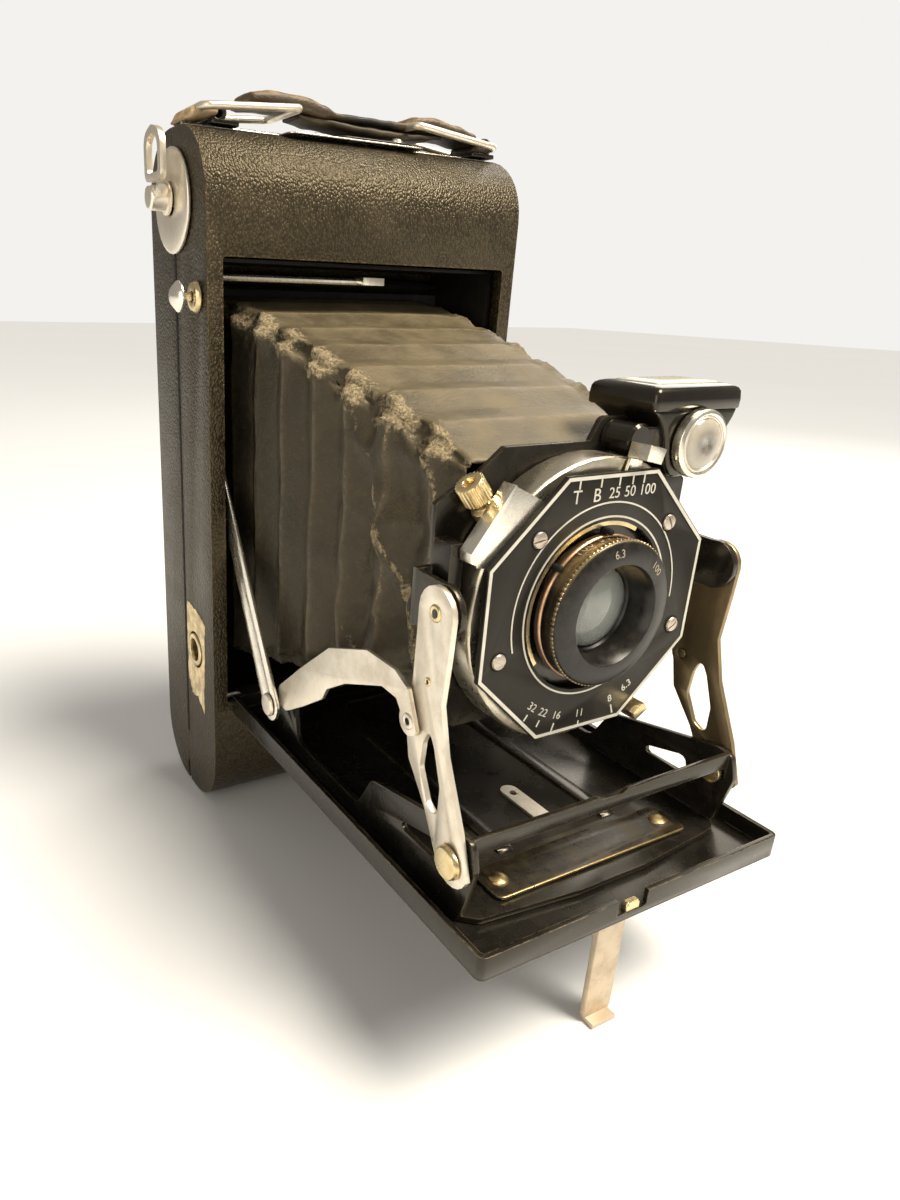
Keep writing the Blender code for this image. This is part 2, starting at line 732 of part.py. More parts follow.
# (depth, height); the ears carry the brace and the strut
WALL_OUTLINE = [
    (-8.0, 30.1), (-8.0, 32.4), (-16.0, 33.6), (-17.0, 41.5), (-21.7, 45.2),
    (-26.6, 41.5), (-28.0, 33.6), (-36.0, 33.4), (-54.0, 33.4), (-58.5, 41.2),
    (-84.5, 46.6), (-88.2, 46.2), (-89.4, 41.5), (-87.0, 32.0), (-86.0, 30.1),
]
WALL_RADII = [0, 1, 2, 2.5, 4.5, 2.5, 2, 2, 3, 3, 2, 1.5, 3, 1, 0]
WALL_WINDOW = [(-63.0, 37.2), (-79.0, 41.4), (-79.0, 37.2)]
# (across, height)
BAR_OUTLINE = [
    (-31.4, 43.4), (31.4, 43.4), (31.4, 46.4), (3.5, 46.4),
    (2.0, 45.6), (-2.0, 45.6), (-3.5, 46.4), (-31.4, 46.4),
]
BAR_RADII = [0.3, 0.3, 1, 0.5, 0.5, 0.5, 0.5, 1]
# (depth, height)
RIB_OUTLINE = [(-30.0, 30.6), (-30.0, 31.6), (-76.0, 31.6), (-77.5, 30.6)]

bed_frame = plate(
    "bed_frame",
    [rounded(FRAME_OUTLINE, [1, 2, 2, 8, 8, 2, 2, 1], 3), rounded(FRAME_HOLE, 3.0, 3)],
    "floor",
    FRAME_FLOOR,
    FRAME_TOP,
)
for word, side in SIDES:
    wall = plate(
        "bed_wall_" + word,
        [
            rounded(WALL_OUTLINE, WALL_RADII, 3),
            circle(BRACE_FOOT, PIVOT_BORE, 12),
            circle(STRUT_FOOT, PIVOT_BORE, 12),
            rounded(WALL_WINDOW, [0.9, 1.6, 1.6], 3),
        ],
        "side",
        *across(FRAME_LANE, side),
    )
    fuse(bed_frame, wall)
fuse(
    bed_frame,
    plate("front_bar", [rounded(BAR_OUTLINE, BAR_RADII, 2)], "front", -87.6, -86.7),
    block("bar_flange", (-28.8, 28.8), (-87.2, -84.6), (43.4, 44.1)),
)
rib_outline = rounded(RIB_OUTLINE, [0, 1, 1, 0], 3)
for i, x in enumerate((-13.0, 13.0)):
    fuse(bed_frame, plate(f"floor_rib_{i}", [rib_outline], "side", *span(x, 1.6)))
keep(bed_frame, ENAMEL, BED_ORIGIN)

nameplate = plate(
    "nameplate",
    [rounded([(-23.2, -78.6), (-23.2, -87.0), (23.2, -87.0), (23.2, -78.6)], 1.6, 3)],
    "floor",
    FRAME_TOP + GAP,
    FRAME_TOP + GAP + 0.5,
)
for word, side in SIDES:
    rivet = turned(
        "nameplate_rivet_" + word,
        (side * 19.9, -82.7, 31.35),
        UP,
        [(1.25, 0), (1.15, 0.9), (0.7, 1.8), (0, 1.8), (0, 0)],
        14,
    )
    fuse(nameplate, rivet)
keep(nameplate, BRASS, BED_ORIGIN)

# --------------------------------------------------------- the erecting gear
# (gear, joint, lane, end of the pin, head's two distances across, head's two radii)
FOOT_PIVOTS = (
    ("strut", STRUT_FOOT, STRUT_LANE, 33.8, (33.3, 34.3), (3.0, 2.6)),
    ("brace", BRACE_FOOT, BRACE_LANE, 36.0, (35.7, 36.25), (2.7, 2.3)),
)
# outlines as (depth, height)
STRUT_OUTLINE = (
    arc(STRUT_FOOT, 4.4, 200, 345, 8)
    + [(-77.0, 47.0), (-71.6, 53.6)]
    + arc(LINK_FRONT, 2.5, -40, 50, 5)
    + [(-71.2, 69.0), (-71.4, 76.0)]
    + arc(STRUT_TOP, 4.4, 0, 180, 9)
    + [(-79.9, 75.0), (-79.2, 66.5), (-81.4, 58.5), (-86.6, 47.6)]
)
STRUT_WINDOW = [
    (-80.6, 46.6), (-77.6, 48.2), (-74.9, 53.4), (-75.3, 58.2),
    (-76.6, 61.6), (-78.4, 58.6), (-80.6, 52.6),
]
STRUT_WINDOW_RADII = [1.3, 1.6, 2.0, 2.0, 1.2, 2.0, 2.0]
LINK_OUTLINE = (
    arc(LINK_FRONT, 2.6, 200, 380, 8)
    + [(-68.4, 63.4), (-63.9, 63.6), (-51.6, 58.6), (-44.8, 54.4), (-43.0, 51.4), (-35.0, 46.0)]
    + arc(LINK_REAR, 3.0, 235, 420, 8)
    + [(-33.6, 54.2), (-45.0, 63.2), (-58.5, 68.2), (-67.5, 68.2), (-71.6, 66.4)]
)


def foot_pivot(word, side, gear, joint, lane, pin_end, head, head_radii):
    """The pin that holds a strut or brace to the bed frame's wall."""
    name = gear + "_pivot_"
    pivot = side_rod(name + word, side, 29.6, pin_end, joint, PIVOT_PIN, 14)
    fuse(
        pivot,
        side_rod(name + "inner_" + word, side, 29.2, 30.2, joint, 2.2, 14),
        side_rod(name + "head_" + word, side, *head, joint, head_radii[0], 20, head_radii[1]),
    )
    keep(pivot, BRASS, in_lane(lane, side, joint))


for word, side in SIDES:
    for pivot_sizes in FOOT_PIVOTS:
        foot_pivot(word, side, *pivot_sizes)

    strut = plate(
        "strut_" + word,
        [
            STRUT_OUTLINE,
            circle(STRUT_FOOT, PIVOT_BORE, 12),
            circle(STRUT_TOP, PIVOT_BORE, 12),
            circle(LINK_FRONT, 1.2, 12),
            rounded(STRUT_WINDOW, STRUT_WINDOW_RADII, 3),
        ],
        "side",
        *across(STRUT_LANE, side),
    )
    keep(strut, NICKEL, in_lane(STRUT_LANE, side, STRUT_FOOT))

    link = plate("bridge_link_" + word, [LINK_OUTLINE], "side", *across(LINK_LANE, side))
    fuse(
        link,
        side_rod("link_stud_" + word, side, 31.75, 33.6, LINK_FRONT, 0.85, 12),
        side_rod("link_stud_head_" + word, side, 34.0, 34.22, LINK_FRONT, 1.4, 14),
    )
    keep(link, NICKEL, in_lane(LINK_LANE, side, LINK_FRONT))

    brace = plate(
        "bed_brace_" + word,
        [tapered(BRACE_FOOT, BRACE_TOP, 3.7, 2.4), circle(BRACE_FOOT, PIVOT_BORE, 12)],
        "side",
        *across(BRACE_LANE, side),
    )
    fuse(brace, side_rod("brace_stud_" + word, side, 35.0, 36.3, BRACE_TOP, 1.0, 12))
    keep(brace, NICKEL, in_lane(BRACE_LANE, side, BRACE_FOOT))

# -------------------------------------------------------- the lens standard
STANDARD_DEPTHS = (-68.2, -67.1)
FINDER_X, FINDER_Z = 7.4, 105.0  # the finder's pivot
# (across, height)
STANDARD_OUTLINE = [
    (-28.0, 72.0), (-22.0, 55.0), (22.0, 55.0), (28.0, 72.0), (28.0, 96.0),
    (22.0, 99.5), (13.5, 104.1), (11.3, 104.3), (11.2, 108.2), (4.6, 108.2),
    (2.5, 104.2), (-16.0, 104.2), (-22.0, 99.5), (-24.5, 98.6), (-28.9, 96.0),
]
STANDARD_RADII = [1, 1, 1, 1, 1, 0.5, 0.5, 0.3, 1.5, 1.5, 0.5, 0.5, 0.5, 0.3, 0.5]

lens_standard = plate(
    "lens_standard",
    [
        rounded(STANDARD_OUTLINE, STANDARD_RADII, 3),
        circle((0, LENS_HEIGHT), 10.2, 24),
        circle((FINDER_X, FINDER_Z), 1.3, 12),
    ],
    "front",
    *STANDARD_DEPTHS,
)
lug_outline = arc(STRUT_TOP, 4.6, 75, 285, 9) + [(-67.2, 76.2), (-67.2, 85.6)]
for word, side in SIDES:
    wing_xs = across((27.4, FRAME_LANE[1]), side)
    fuse(
        lens_standard,
        block("standard_wing_" + word, wing_xs, STANDARD_DEPTHS, (76.0, 85.8)),
        plate("standard_lug_" + word, [lug_outline], "side", *across(FRAME_LANE, side)),
        side_rod("standard_pivot_" + word, side, 31.0, 33.15, STRUT_TOP, PIVOT_PIN, 14),
    )
fuse(lens_standard, block("standard_cheek", (-28.6, -26.1), (-72.6, -67.6), (73.0, 90.5)))
keep(lens_standard, ENAMEL, STANDARD_ORIGIN)

# --------------------------------------------------------- shutter and lens
SHUTTER_BACK = -68.5
LEVER_BACK = -75.2  # the levers lie between the shutter housing and its faceplate
LEVER_DEPTHS = (-75.9, LEVER_BACK)
LEVER_ORIGIN = (0, -76, LENS_HEIGHT)
FOCUS_ORIGIN = (0, -75, LENS_HEIGHT)
# (across, height from the lens axis)
FACEPLATE_OUTLINE = [
    (10.1, 23.3), (24.4, 9.65), (24.4, -9.65), (10.1, -23.3),
    (-10.1, -23.3), (-24.4, -9.65), (-24.4, 9.65), (-10.1, 23.3),
]
SCREWS = [(-14.7, 13.6), (14.7, 13.6), (-20.4, -6.4), (20.4, -6.4)]
RELEASE_EDGE = [(-23.4, 9.6), (-25.9, 10.0), (-26.6, 12.0), (-19.4, 22.2), (-16.4, 20.8)]
RELEASE_THUMB = [(-26.0, 10.4), (-19.2, 22.0), (-19.8, 22.6), (-27.2, 12.4), (-27.0, 10.8)]


def around(radius, start, end, steps):
    """An arc about the lens axis, seen from the front."""
    return arc((0, LENS_HEIGHT), radius, start, end, steps)


def from_lens(points):
    return [(x, LENS_HEIGHT + z) for x, z in points]


def lens_turned(name, depth, direction, profile, sides, closed=False):
    """A piece turned about the lens axis."""
    return turned(name, (0, depth, LENS_HEIGHT), direction, profile, sides, closed)


def lever(name, outline, tab_name, tab_outline, tab_depths, material):
    """A flat lever with a tab bent off its edge."""
    flat = plate(name, [outline], "front", *LEVER_DEPTHS)
    fuse(flat, plate(tab_name, [tab_outline], "front", *tab_depths))
    keep(flat, material, LEVER_ORIGIN)


shutter_housing = lens_turned(
    "shutter_housing",
    SHUTTER_BACK,
    FORWARD,
    [(6.4, 10.2), (6.4, 22.0), (0, 22.0), (0, 9.0), (3.0, 9.0), (3.0, 10.2)],
    36,
    closed=True,
)
keep(shutter_housing, ENAMEL, STANDARD_ORIGIN)

dial_ring = lens_turned(
    "dial_ring",
    SHUTTER_BACK - 0.4,
    FORWARD,
    [(6.0, 22.3), (6.0, 25.2), (5.5, 25.6), (0, 25.6), (0, 22.3)],
    48,
    closed=True,
)
keep(dial_ring, STEEL, STANDARD_ORIGIN)

shutter_faceplate = plate(
    "shutter_faceplate",
    [from_lens(FACEPLATE_OUTLINE), around(15.3, 0, 360 * (1 - 1 / 32), 31)]
    + [circle(centre, 0.9, 10) for centre in from_lens(SCREWS)],
    "front",
    -77.0,
    -76.2,
)
keep(shutter_faceplate, ENAMEL, STANDARD_ORIGIN)

for i, (x, z) in enumerate(from_lens(SCREWS)):
    screw = turned(
        f"faceplate_screw_{i + 1}",
        (x, LEVER_BACK, z),
        FORWARD,
        [(2.7, 0), (2.55, 1.0), (2.15, 1.65), (2.1, 0.6), (0, 0.6), (0, 0)],
        14,
    )
    keep(screw, NICKEL, STANDARD_ORIGIN)

lever(
    "speed_lever",
    around(26.6, 74.0, 80.0, 2)
    + around(21.5, 81.5, 94.0, 3)
    + around(17.0, 94.0, 62.0, 6)
    + around(21.5, 62.0, 72.5, 3),
    "speed_tab",
    around(28.2, 73.0, 81.0, 2) + around(25.6, 81.0, 73.0, 2),
    (-79.4, LEVER_BACK),
    NICKEL,
)
lever(
    "release_lever",
    around(21.6, 122.0, 146.0, 4) + from_lens(RELEASE_EDGE),
    "release_thumb",
    from_lens(RELEASE_THUMB),
    (-75.9, -73.0),
    STEEL,
)
lever(
    "aperture_lever",
    around(17.0, 255.0, 312.0, 7)
    + around(21.0, 312.0, 306.0, 2)
    + around(26.6, 305.0, 300.0, 2)
    + around(21.0, 299.0, 255.0, 6),
    "aperture_tab",
    around(27.6, 299.0, 306.0, 2) + around(25.8, 306.0, 299.0, 2),
    (-78.6, LEVER_BACK),
    BRASS,
)

iris_blades = lens_turned(
    "iris_blades",
    -71.9,
    FORWARD,
    [(0.5, 4.0), (0.5, 9.9), (0, 9.9), (0, 4.0)],
    24,
    closed=True,
)
keep(iris_blades, INNER, (0, -72, LENS_HEIGHT))

# leans up and out from the shutter's upper left
cable_socket = turned(
    "cable_socket",
    (-20.2, -70.65, LENS_HEIGHT + 16.6),
    (-4, 0, 5),
    [
        (7.4, 1.0), (7.4, 2.2), (3.6, 2.2), (3.2, 1.4),
        (2.4, 1.4), (2.0, 2.2), (0.4, 2.2), (0.4, 0.9),
    ],
    20,
    closed=True,
)
keep(cable_socket, BRASS, STANDARD_ORIGIN)

focusing_ring = lens_turned(
    "focusing_ring",
    -75.0,
    FORWARD,
    [
        (6.8, 9.0), (6.2, 12.4), (5.9, 12.9), (4.6, 12.9), (4.3, 12.4), (0.2, 12.4),
        (0.2, 9.6), (-2.0, 9.6), (-2.0, 7.6), (1.4, 7.6), (1.9, 8.0), (3.6, 8.0),
    ],
    40,
    closed=True,
)
keep(focusing_ring, ENAMEL, FOCUS_ORIGIN)

front_lens = lens_turned(
    "front_lens",
    -76.0,
    FORWARD,
    [(2.5, 0), (2.3, 2.6), (1.6, 5.2), (0.7, 7.2), (-1.0, 7.2), (-1.0, 0)],
    28,
)
keep(front_lens, GLASS, FOCUS_ORIGIN)

rear_lens_cell = lens_turned(
    "rear_lens_cell",
    STANDARD_DEPTHS[0],
    BACKWARD,
    [(5.6, 0), (5.2, 5.0), (5.2, 8.6), (1.6, 8.6), (-0.2, 8.6), (-0.2, 0)],
    24,
)
keep(rear_lens_cell, INNER, STANDARD_ORIGIN)

# ---------------------------------------------------------------- the finder
FINDER_ORIGIN = (FINDER_X, -68, FINDER_Z)
EYE_X, EYE_Z = 19.6, 104.2
CAP_HOLE_XS, CAP_HOLE_DEPTHS = (13.2, 26.4), (-72.6, -63.4)
# (depth, height)
FINDER_SLOPE = [(-68.5, 97.0), (-60.0, 97.0), (-60.0, 106.4), (-64.4, 106.4), (-68.5, 104.6)]


def finder_rod(name, start, end, radius, sides):
    """A bar along the finder's pivot, between two depths."""
    return rod(name, (FINDER_X, start, FINDER_Z), (FINDER_X, end, FINDER_Z), radius, sides)


finder_body = block("finder_body", (12.0, 29.6), (-75.4, -63.6), (100.5, 109.3))
cut(
    finder_body,
    plate("finder_slope", [FINDER_SLOPE], "side", 10.0, 32.0),
    rod("finder_eye", (EYE_X, -77.0, EYE_Z), (EYE_X, -68.0, EYE_Z), 4.3, 20),
    block("finder_hollow", (14.0, 28.0), (-73.4, -65.6), (106.0, 112.0)),
)
fuse(
    finder_body,
    finder_rod("finder_neck", -68.6, -74.6, 2.8, 14),
    block("finder_arm", (FINDER_X, 12.6), (-74.4, -68.8), span(FINDER_Z, 2.2)),
    finder_rod("finder_axle", -66.8, -70.0, 1.0, 12),
)
keep(finder_body, ENAMEL, FINDER_ORIGIN)

cap_outline = rectangle((8.6, 30.25), (-75.5, -60.0), 1.4, 3)
cap_hole = rectangle(CAP_HOLE_XS, CAP_HOLE_DEPTHS, 0.8, 3)
finder_cap = plate("finder_cap", [cap_outline, cap_hole], "floor", 109.6, 113.6)
keep(finder_cap, ENAMEL, FINDER_ORIGIN)

# the window clears the cap's hole all round
window_outline = rectangle(
    (CAP_HOLE_XS[0] + GAP, CAP_HOLE_XS[1] - GAP),
    (CAP_HOLE_DEPTHS[0] + GAP, CAP_HOLE_DEPTHS[1] - GAP),
    0.6,
    3,
)
finder_window = plate("finder_window", [window_outline], "floor", 111.9, 113.0)
keep(finder_window, GLASS, FINDER_ORIGIN)

finder_lens = turned(
    "finder_lens",
    (EYE_X, -75.7, EYE_Z),
    FORWARD,
    [(1.5, 0), (1.2, 3.6), (1.5, 4.6), (2.0, 5.2), (1.6, 5.9), (0, 5.9), (0, 0)],
    28,
)
keep(finder_lens, NICKEL, FINDER_ORIGIN)

# --------------------------------------------------------------- the bellows
# (depth, half width, bottom, top), from the back to the front
BELLOWS = [
    (27.4, 31.0, 37.2, 125.8),
    (25.6, 31.0, 37.2, 125.8),
    (8.0, 30.6, 39.0, 123.6),
    (-20.0, 29.0, 47.0, 117.0),
    (-45.0, 26.4, 54.0, 110.0),
    (-64.8, 23.6, 58.6, 102.6),
    (-66.7, 23.6, 58.6, 102.6),
]
BELLOWS_CLOTH = 1.4
BELLOWS_CORNER = 3.0


def bellows_loft(name, inset, overrun):
    """A closed loft of rectangles with cut corners, longer by overrun at each end."""
    shape = bmesh.new()
    rings = []
    extra = [overrun] + [0] * (len(BELLOWS) - 2) + [-overrun]
    for (depth, half_width, bottom, top), shift in zip(BELLOWS, extra):
        wide, low, high = half_width - inset, bottom + inset, top - inset
        narrow = wide - BELLOWS_CORNER
        lower, upper = low + BELLOWS_CORNER, high - BELLOWS_CORNER
        section = [
            (-narrow, low), (narrow, low), (wide, lower), (wide, upper),
            (narrow, high), (-narrow, high), (-wide, upper), (-wide, lower),
        ]
        rings.append([shape.verts.new(place(x, depth + shift, z)) for x, z in section])
    for one, two in zip(rings, rings[1:]):
        for k in range(8):
            after = (k + 1) % 8
            shape.faces.new((one[k], one[after], two[after], two[k]))
    shape.faces.new(rings[0])
    shape.faces.new(rings[-1])
    return from_bmesh(name, shape)


bellows = bellows_loft("bellows", inset=0.0, overrun=0.0)
cut(bellows, bellows_loft("bellows_hollow", inset=BELLOWS_CLOTH, overrun=1.0))
keep(bellows, CLOTH)
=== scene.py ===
import math

import bmesh
import bpy
from mathutils import Matrix, Vector, noise
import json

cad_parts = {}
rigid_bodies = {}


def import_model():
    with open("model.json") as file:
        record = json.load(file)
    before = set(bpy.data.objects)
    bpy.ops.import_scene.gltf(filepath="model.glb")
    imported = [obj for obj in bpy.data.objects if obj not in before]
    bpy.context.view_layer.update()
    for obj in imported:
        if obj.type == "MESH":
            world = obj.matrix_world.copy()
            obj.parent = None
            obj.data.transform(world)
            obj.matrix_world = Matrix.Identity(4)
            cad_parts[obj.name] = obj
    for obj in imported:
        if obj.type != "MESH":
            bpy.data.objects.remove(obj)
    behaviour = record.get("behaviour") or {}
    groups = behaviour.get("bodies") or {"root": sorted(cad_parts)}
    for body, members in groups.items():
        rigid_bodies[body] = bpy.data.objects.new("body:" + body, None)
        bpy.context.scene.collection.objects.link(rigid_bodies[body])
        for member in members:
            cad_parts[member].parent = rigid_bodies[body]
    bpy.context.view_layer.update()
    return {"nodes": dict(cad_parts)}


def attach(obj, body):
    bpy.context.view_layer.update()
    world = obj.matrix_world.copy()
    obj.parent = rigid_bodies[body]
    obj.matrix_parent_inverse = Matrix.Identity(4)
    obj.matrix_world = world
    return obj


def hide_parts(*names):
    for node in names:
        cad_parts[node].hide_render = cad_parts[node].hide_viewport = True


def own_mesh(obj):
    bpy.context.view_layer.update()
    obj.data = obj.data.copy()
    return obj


for old in list(bpy.data.objects):
    bpy.data.objects.remove(old)
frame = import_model()
NODES = frame["nodes"]
SCENE = bpy.context.scene

# The design's own millimetres: x to the right, depth back from the body's front face, z up.
HALF_DEPTH = 17.5


def P(x, depth, z):
    return Vector((x / 1000, (depth - HALF_DEPTH) / 1000, z / 1000))


LENS_Z = 77.35


# ------------------------------------------------------------------ materials
class Nodes:
    """A few short names for building a material's nodes. Positions are in millimetres."""

    def __init__(self, name):
        self.material = bpy.data.materials.new(name)
        self.material.use_nodes = True
        self.tree = self.material.node_tree
        self.bsdf = self.tree.nodes["Principled BSDF"]
        coords = self.tree.nodes.new("ShaderNodeTexCoord")
        scale = self.tree.nodes.new("ShaderNodeVectorMath")
        scale.operation = "SCALE"
        scale.inputs["Scale"].default_value = 1000
        self.link(coords.outputs["Object"], scale.inputs[0])
        self.mm = scale.outputs[0]
        split = self.tree.nodes.new("ShaderNodeSeparateXYZ")
        self.link(self.mm, split.inputs[0])
        self.x, self.y, self.z = split.outputs

    def link(self, a, b):
        if hasattr(a, "links"):
            self.tree.links.new(a, b)
        else:
            b.default_value = a

    def stretch(self, x, y, z):
        node = self.tree.nodes.new("ShaderNodeVectorMath")
        node.operation = "MULTIPLY"
        self.link(self.mm, node.inputs[0])
        node.inputs[1].default_value = (x, y, z)
        return node.outputs[0]

    def noise(self, scale, detail=4, rough=0.55, distortion=0.0, vector=None):
        node = self.tree.nodes.new("ShaderNodeTexNoise")
        self.link(self.mm if vector is None else vector, node.inputs["Vector"])
        node.inputs["Scale"].default_value = scale
        node.inputs["Detail"].default_value = detail
        node.inputs["Roughness"].default_value = rough
        node.inputs["Distortion"].default_value = distortion
        return node.outputs[0]

    def cells(self, scale, feature="SMOOTH_F1", vector=None, smooth=0.35):
        node = self.tree.nodes.new("ShaderNodeTexVoronoi")
        node.feature = feature
        self.link(self.mm if vector is None else vector, node.inputs["Vector"])
        node.inputs["Scale"].default_value = scale
        if feature == "SMOOTH_F1":
            node.inputs["Smoothness"].default_value = smooth
        return node.outputs["Distance"]

    def maths(self, operation, a, b=0.0, c=0.0, clamp=False):
        node = self.tree.nodes.new("ShaderNodeMath")
        node.operation = operation
        node.use_clamp = clamp
        self.link(a, node.inputs[0])
        self.link(b, node.inputs[1])
        self.link(c, node.inputs[2])
        return node.outputs[0]

    def step(self, value, low, high, out_low=0.0, out_high=1.0):
        node = self.tree.nodes.new("ShaderNodeMapRange")
        node.interpolation_type = "SMOOTHSTEP"
        self.link(value, node.inputs["Value"])
        node.inputs["From Min"].default_value = low
        node.inputs["From Max"].default_value = high
        node.inputs["To Min"].default_value = out_low
        node.inputs["To Max"].default_value = out_high
        return node.outputs["Result"]

    def mix(self, factor, a, b):
        node = self.tree.nodes.new("ShaderNodeMix")
        node.data_type = "RGBA"
        self.link(factor, node.inputs[0])
        for value, socket in ((a, node.inputs[6]), (b, node.inputs[7])):
            self.link(value if hasattr(value, "links") else (*value, 1.0), socket)
        return node.outputs[2]

    def edge(self, radius_mm, low=0.02, high=0.25):
        """1 along sharp edges, 0 on flat faces."""
        bevel = self.tree.nodes.new("ShaderNodeBevel")
        bevel.samples = 6
        bevel.inputs["Radius"].default_value = radius_mm / 1000
        geometry = self.tree.nodes.new("ShaderNodeNewGeometry")
        dot = self.tree.nodes.new("ShaderNodeVectorMath")
        dot.operation = "DOT_PRODUCT"
        self.link(bevel.outputs[0], dot.inputs[0])
        self.link(geometry.outputs["Normal"], dot.inputs[1])
        return self.step(self.maths("SUBTRACT", 1.0, dot.outputs["Value"]), low, high)

    def attribute(self, name):
        node = self.tree.nodes.new("ShaderNodeAttribute")
        node.attribute_name = name
        return node.outputs["Fac"]

    def normal(self):
        geometry = self.tree.nodes.new("ShaderNodeNewGeometry")
        split = self.tree.nodes.new("ShaderNodeSeparateXYZ")
        self.link(geometry.outputs["Normal"], split.inputs[0])
        return split.outputs

    def bump(self, height, depth_mm, strength=1.0, normal=None):
        node = self.tree.nodes.new("ShaderNodeBump")
        self.link(height, node.inputs["Height"])
        node.inputs["Distance"].default_value = depth_mm / 1000
        node.inputs["Strength"].default_value = strength
        if normal is not None:
            self.link(normal, node.inputs["Normal"])
        return node.outputs[0]

    def set(self, **values):
        for key, value in values.items():
            socket = self.bsdf.inputs[key.replace("_", " ")]
            if isinstance(value, tuple) and len(value) == 3:
                value = (*value, 1.0)
            self.link(value, socket)
        return self.material


def leather(name="body_leather", dark=(0.0100, 0.0077, 0.0047), light=(0.049, 0.0370, 0.0212), wear=(0.20, 0.125, 0.06)):
    n = Nodes(name)
    warp = n.noise(0.35, 2, 0.5)
    tall = n.stretch(1.2, 1.2, 0.85)
    pebble = n.cells(1.75, vector=tall, smooth=0.25)
    fine = n.cells(4.1, vector=tall, smooth=0.4)
    grain = n.maths("ADD", n.maths("MULTIPLY", pebble, 0.85), n.maths("MULTIPLY", fine, 0.2))
    grain = n.maths("SUBTRACT", 1.0, grain)
    blotch = n.noise(0.09, 5, 0.6)
    colour = n.mix(n.step(grain, 0.35, 0.8), dark, light)
    colour = n.mix(n.maths("MULTIPLY", n.step(blotch, 0.45, 0.75), 0.30), colour, (0.070, 0.053, 0.032))
    rub = n.maths("MULTIPLY", n.edge(1.3, 0.03, 0.35), n.step(n.noise(0.55, 6, 0.7), 0.42, 0.62))
    colour = n.mix(n.maths("MULTIPLY", rub, 0.85), colour, wear)
    specks = n.step(n.noise(0.9, 8, 0.75), 0.70, 0.76)
    colour = n.mix(n.maths("MULTIPLY", specks, 0.5), colour, (0.22, 0.16, 0.09))
    rough = n.maths("ADD", n.step(blotch, 0.3, 0.75, 0.33, 0.46), n.maths("MULTIPLY", rub, 0.18))
    height = n.maths("ADD", grain, n.maths("MULTIPLY", warp, 0.5))
    return n.set(
        Base_Color=colour,
        Roughness=rough,
        Specular_IOR_Level=0.64,
        Specular_Tint=(1.0, 0.83, 0.55),
        Normal=n.bump(height, 0.24, 1.0),
    )


def enamel(name, wear=0.8, gloss=0.2, colour=(0.0085, 0.0074, 0.006), brown=(0.22, 0.155, 0.085), leather_below=None, shine=0.42, coat=0.18):
    n = Nodes(name)
    smear = n.noise(0.10, 5, 0.65)
    dust = n.step(n.noise(0.9, 8, 0.8), 0.60, 0.72)
    base = n.mix(n.maths("MULTIPLY", n.step(smear, 0.42, 0.72), 0.6), colour, tuple(2.6 * c for c in colour))
    base = n.mix(n.maths("MULTIPLY", dust, 0.22), base, (0.10, 0.08, 0.055))
    rub = n.maths("MULTIPLY", n.edge(0.45, 0.03, 0.30), n.step(n.noise(0.35, 6, 0.7), 0.38, 0.60))
    rub = n.maths("MULTIPLY", rub, wear)
    base = n.mix(rub, base, brown)
    rough = n.maths("ADD", n.step(smear, 0.3, 0.8, gloss, gloss + 0.20), n.maths("MULTIPLY", dust, 0.15))
    height = n.noise(0.35, 3, 0.5)
    normal = n.bump(height, 0.05, 0.35)
    values = dict(
        Base_Color=base,
        Roughness=rough,
        Metallic=n.maths("MULTIPLY", rub, 0.5),
        Specular_IOR_Level=shine,
        Specular_Tint=(1.0, 0.90, 0.72),
        Coat_Weight=coat,
        Coat_Roughness=0.14,
        Normal=normal,
    )
    if leather_below is not None:
        tall = n.stretch(1.3, 0.9, 1.3)
        grain = n.maths("SUBTRACT", 1.0, n.maths("ADD", n.maths("MULTIPLY", n.cells(1.25, vector=tall), 0.75), n.maths("MULTIPLY", n.cells(2.9, vector=tall), 0.3)))
        under = n.step(n.z, leather_below - 0.15, leather_below + 0.15, 1.0, 0.0)
        values["Base_Color"] = n.mix(under, base, n.mix(n.step(grain, 0.35, 0.8), (0.020, 0.0155, 0.010), (0.055, 0.043, 0.028)))
        values["Roughness"] = n.maths("ADD", rough, n.maths("MULTIPLY", under, 0.2))
        values["Coat_Weight"] = n.maths("MULTIPLY", n.maths("SUBTRACT", 1.0, under), coat)
        values["Normal"] = n.bump(n.maths("MULTIPLY", grain, under), 0.14, 0.8)
    return n.set(**values)


def metal(name, colour, stain, rough=0.34, metallic=0.92, mottle=0.35, edge=None, scratch=1.0, inner=None):
    n = Nodes(name)
    if inner is not None:
        # a plate whose face towards the middle of the camera is painted dark brown as shade, its outer face keeping the
        # nickel colour
        outer = n.step(n.x, inner[0], inner[0] + 0.1)
        colour = n.mix(outer, inner[1], colour)
        stain = n.mix(outer, inner[2], stain)
    cloud = n.noise(0.22, 6, 0.65)
    spots = n.step(n.noise(0.75, 8, 0.75), 0.58, 0.70)
    base = n.mix(n.maths("MULTIPLY", n.step(cloud, 0.40, 0.72), mottle), colour, stain)
    if inner is None:
        base = n.mix(n.maths("MULTIPLY", spots, 0.5 * mottle), base, tuple(0.45 * c for c in stain))
    if edge is not None:
        base = n.mix(n.maths("MULTIPLY", n.edge(0.35, 0.03, 0.3), 0.8), base, edge)
    lines = n.noise(3.0, 4, 0.6, vector=n.stretch(1.0, 0.12, 1.0))
    rough_value = n.maths("ADD", n.step(cloud, 0.3, 0.75, rough - 0.08, rough + 0.12), n.maths("MULTIPLY", spots, 0.12))
    return n.set(
        Base_Color=base,
        Roughness=rough_value,
        Metallic=metallic,
        Normal=n.bump(lines, 0.012, scratch),
    )


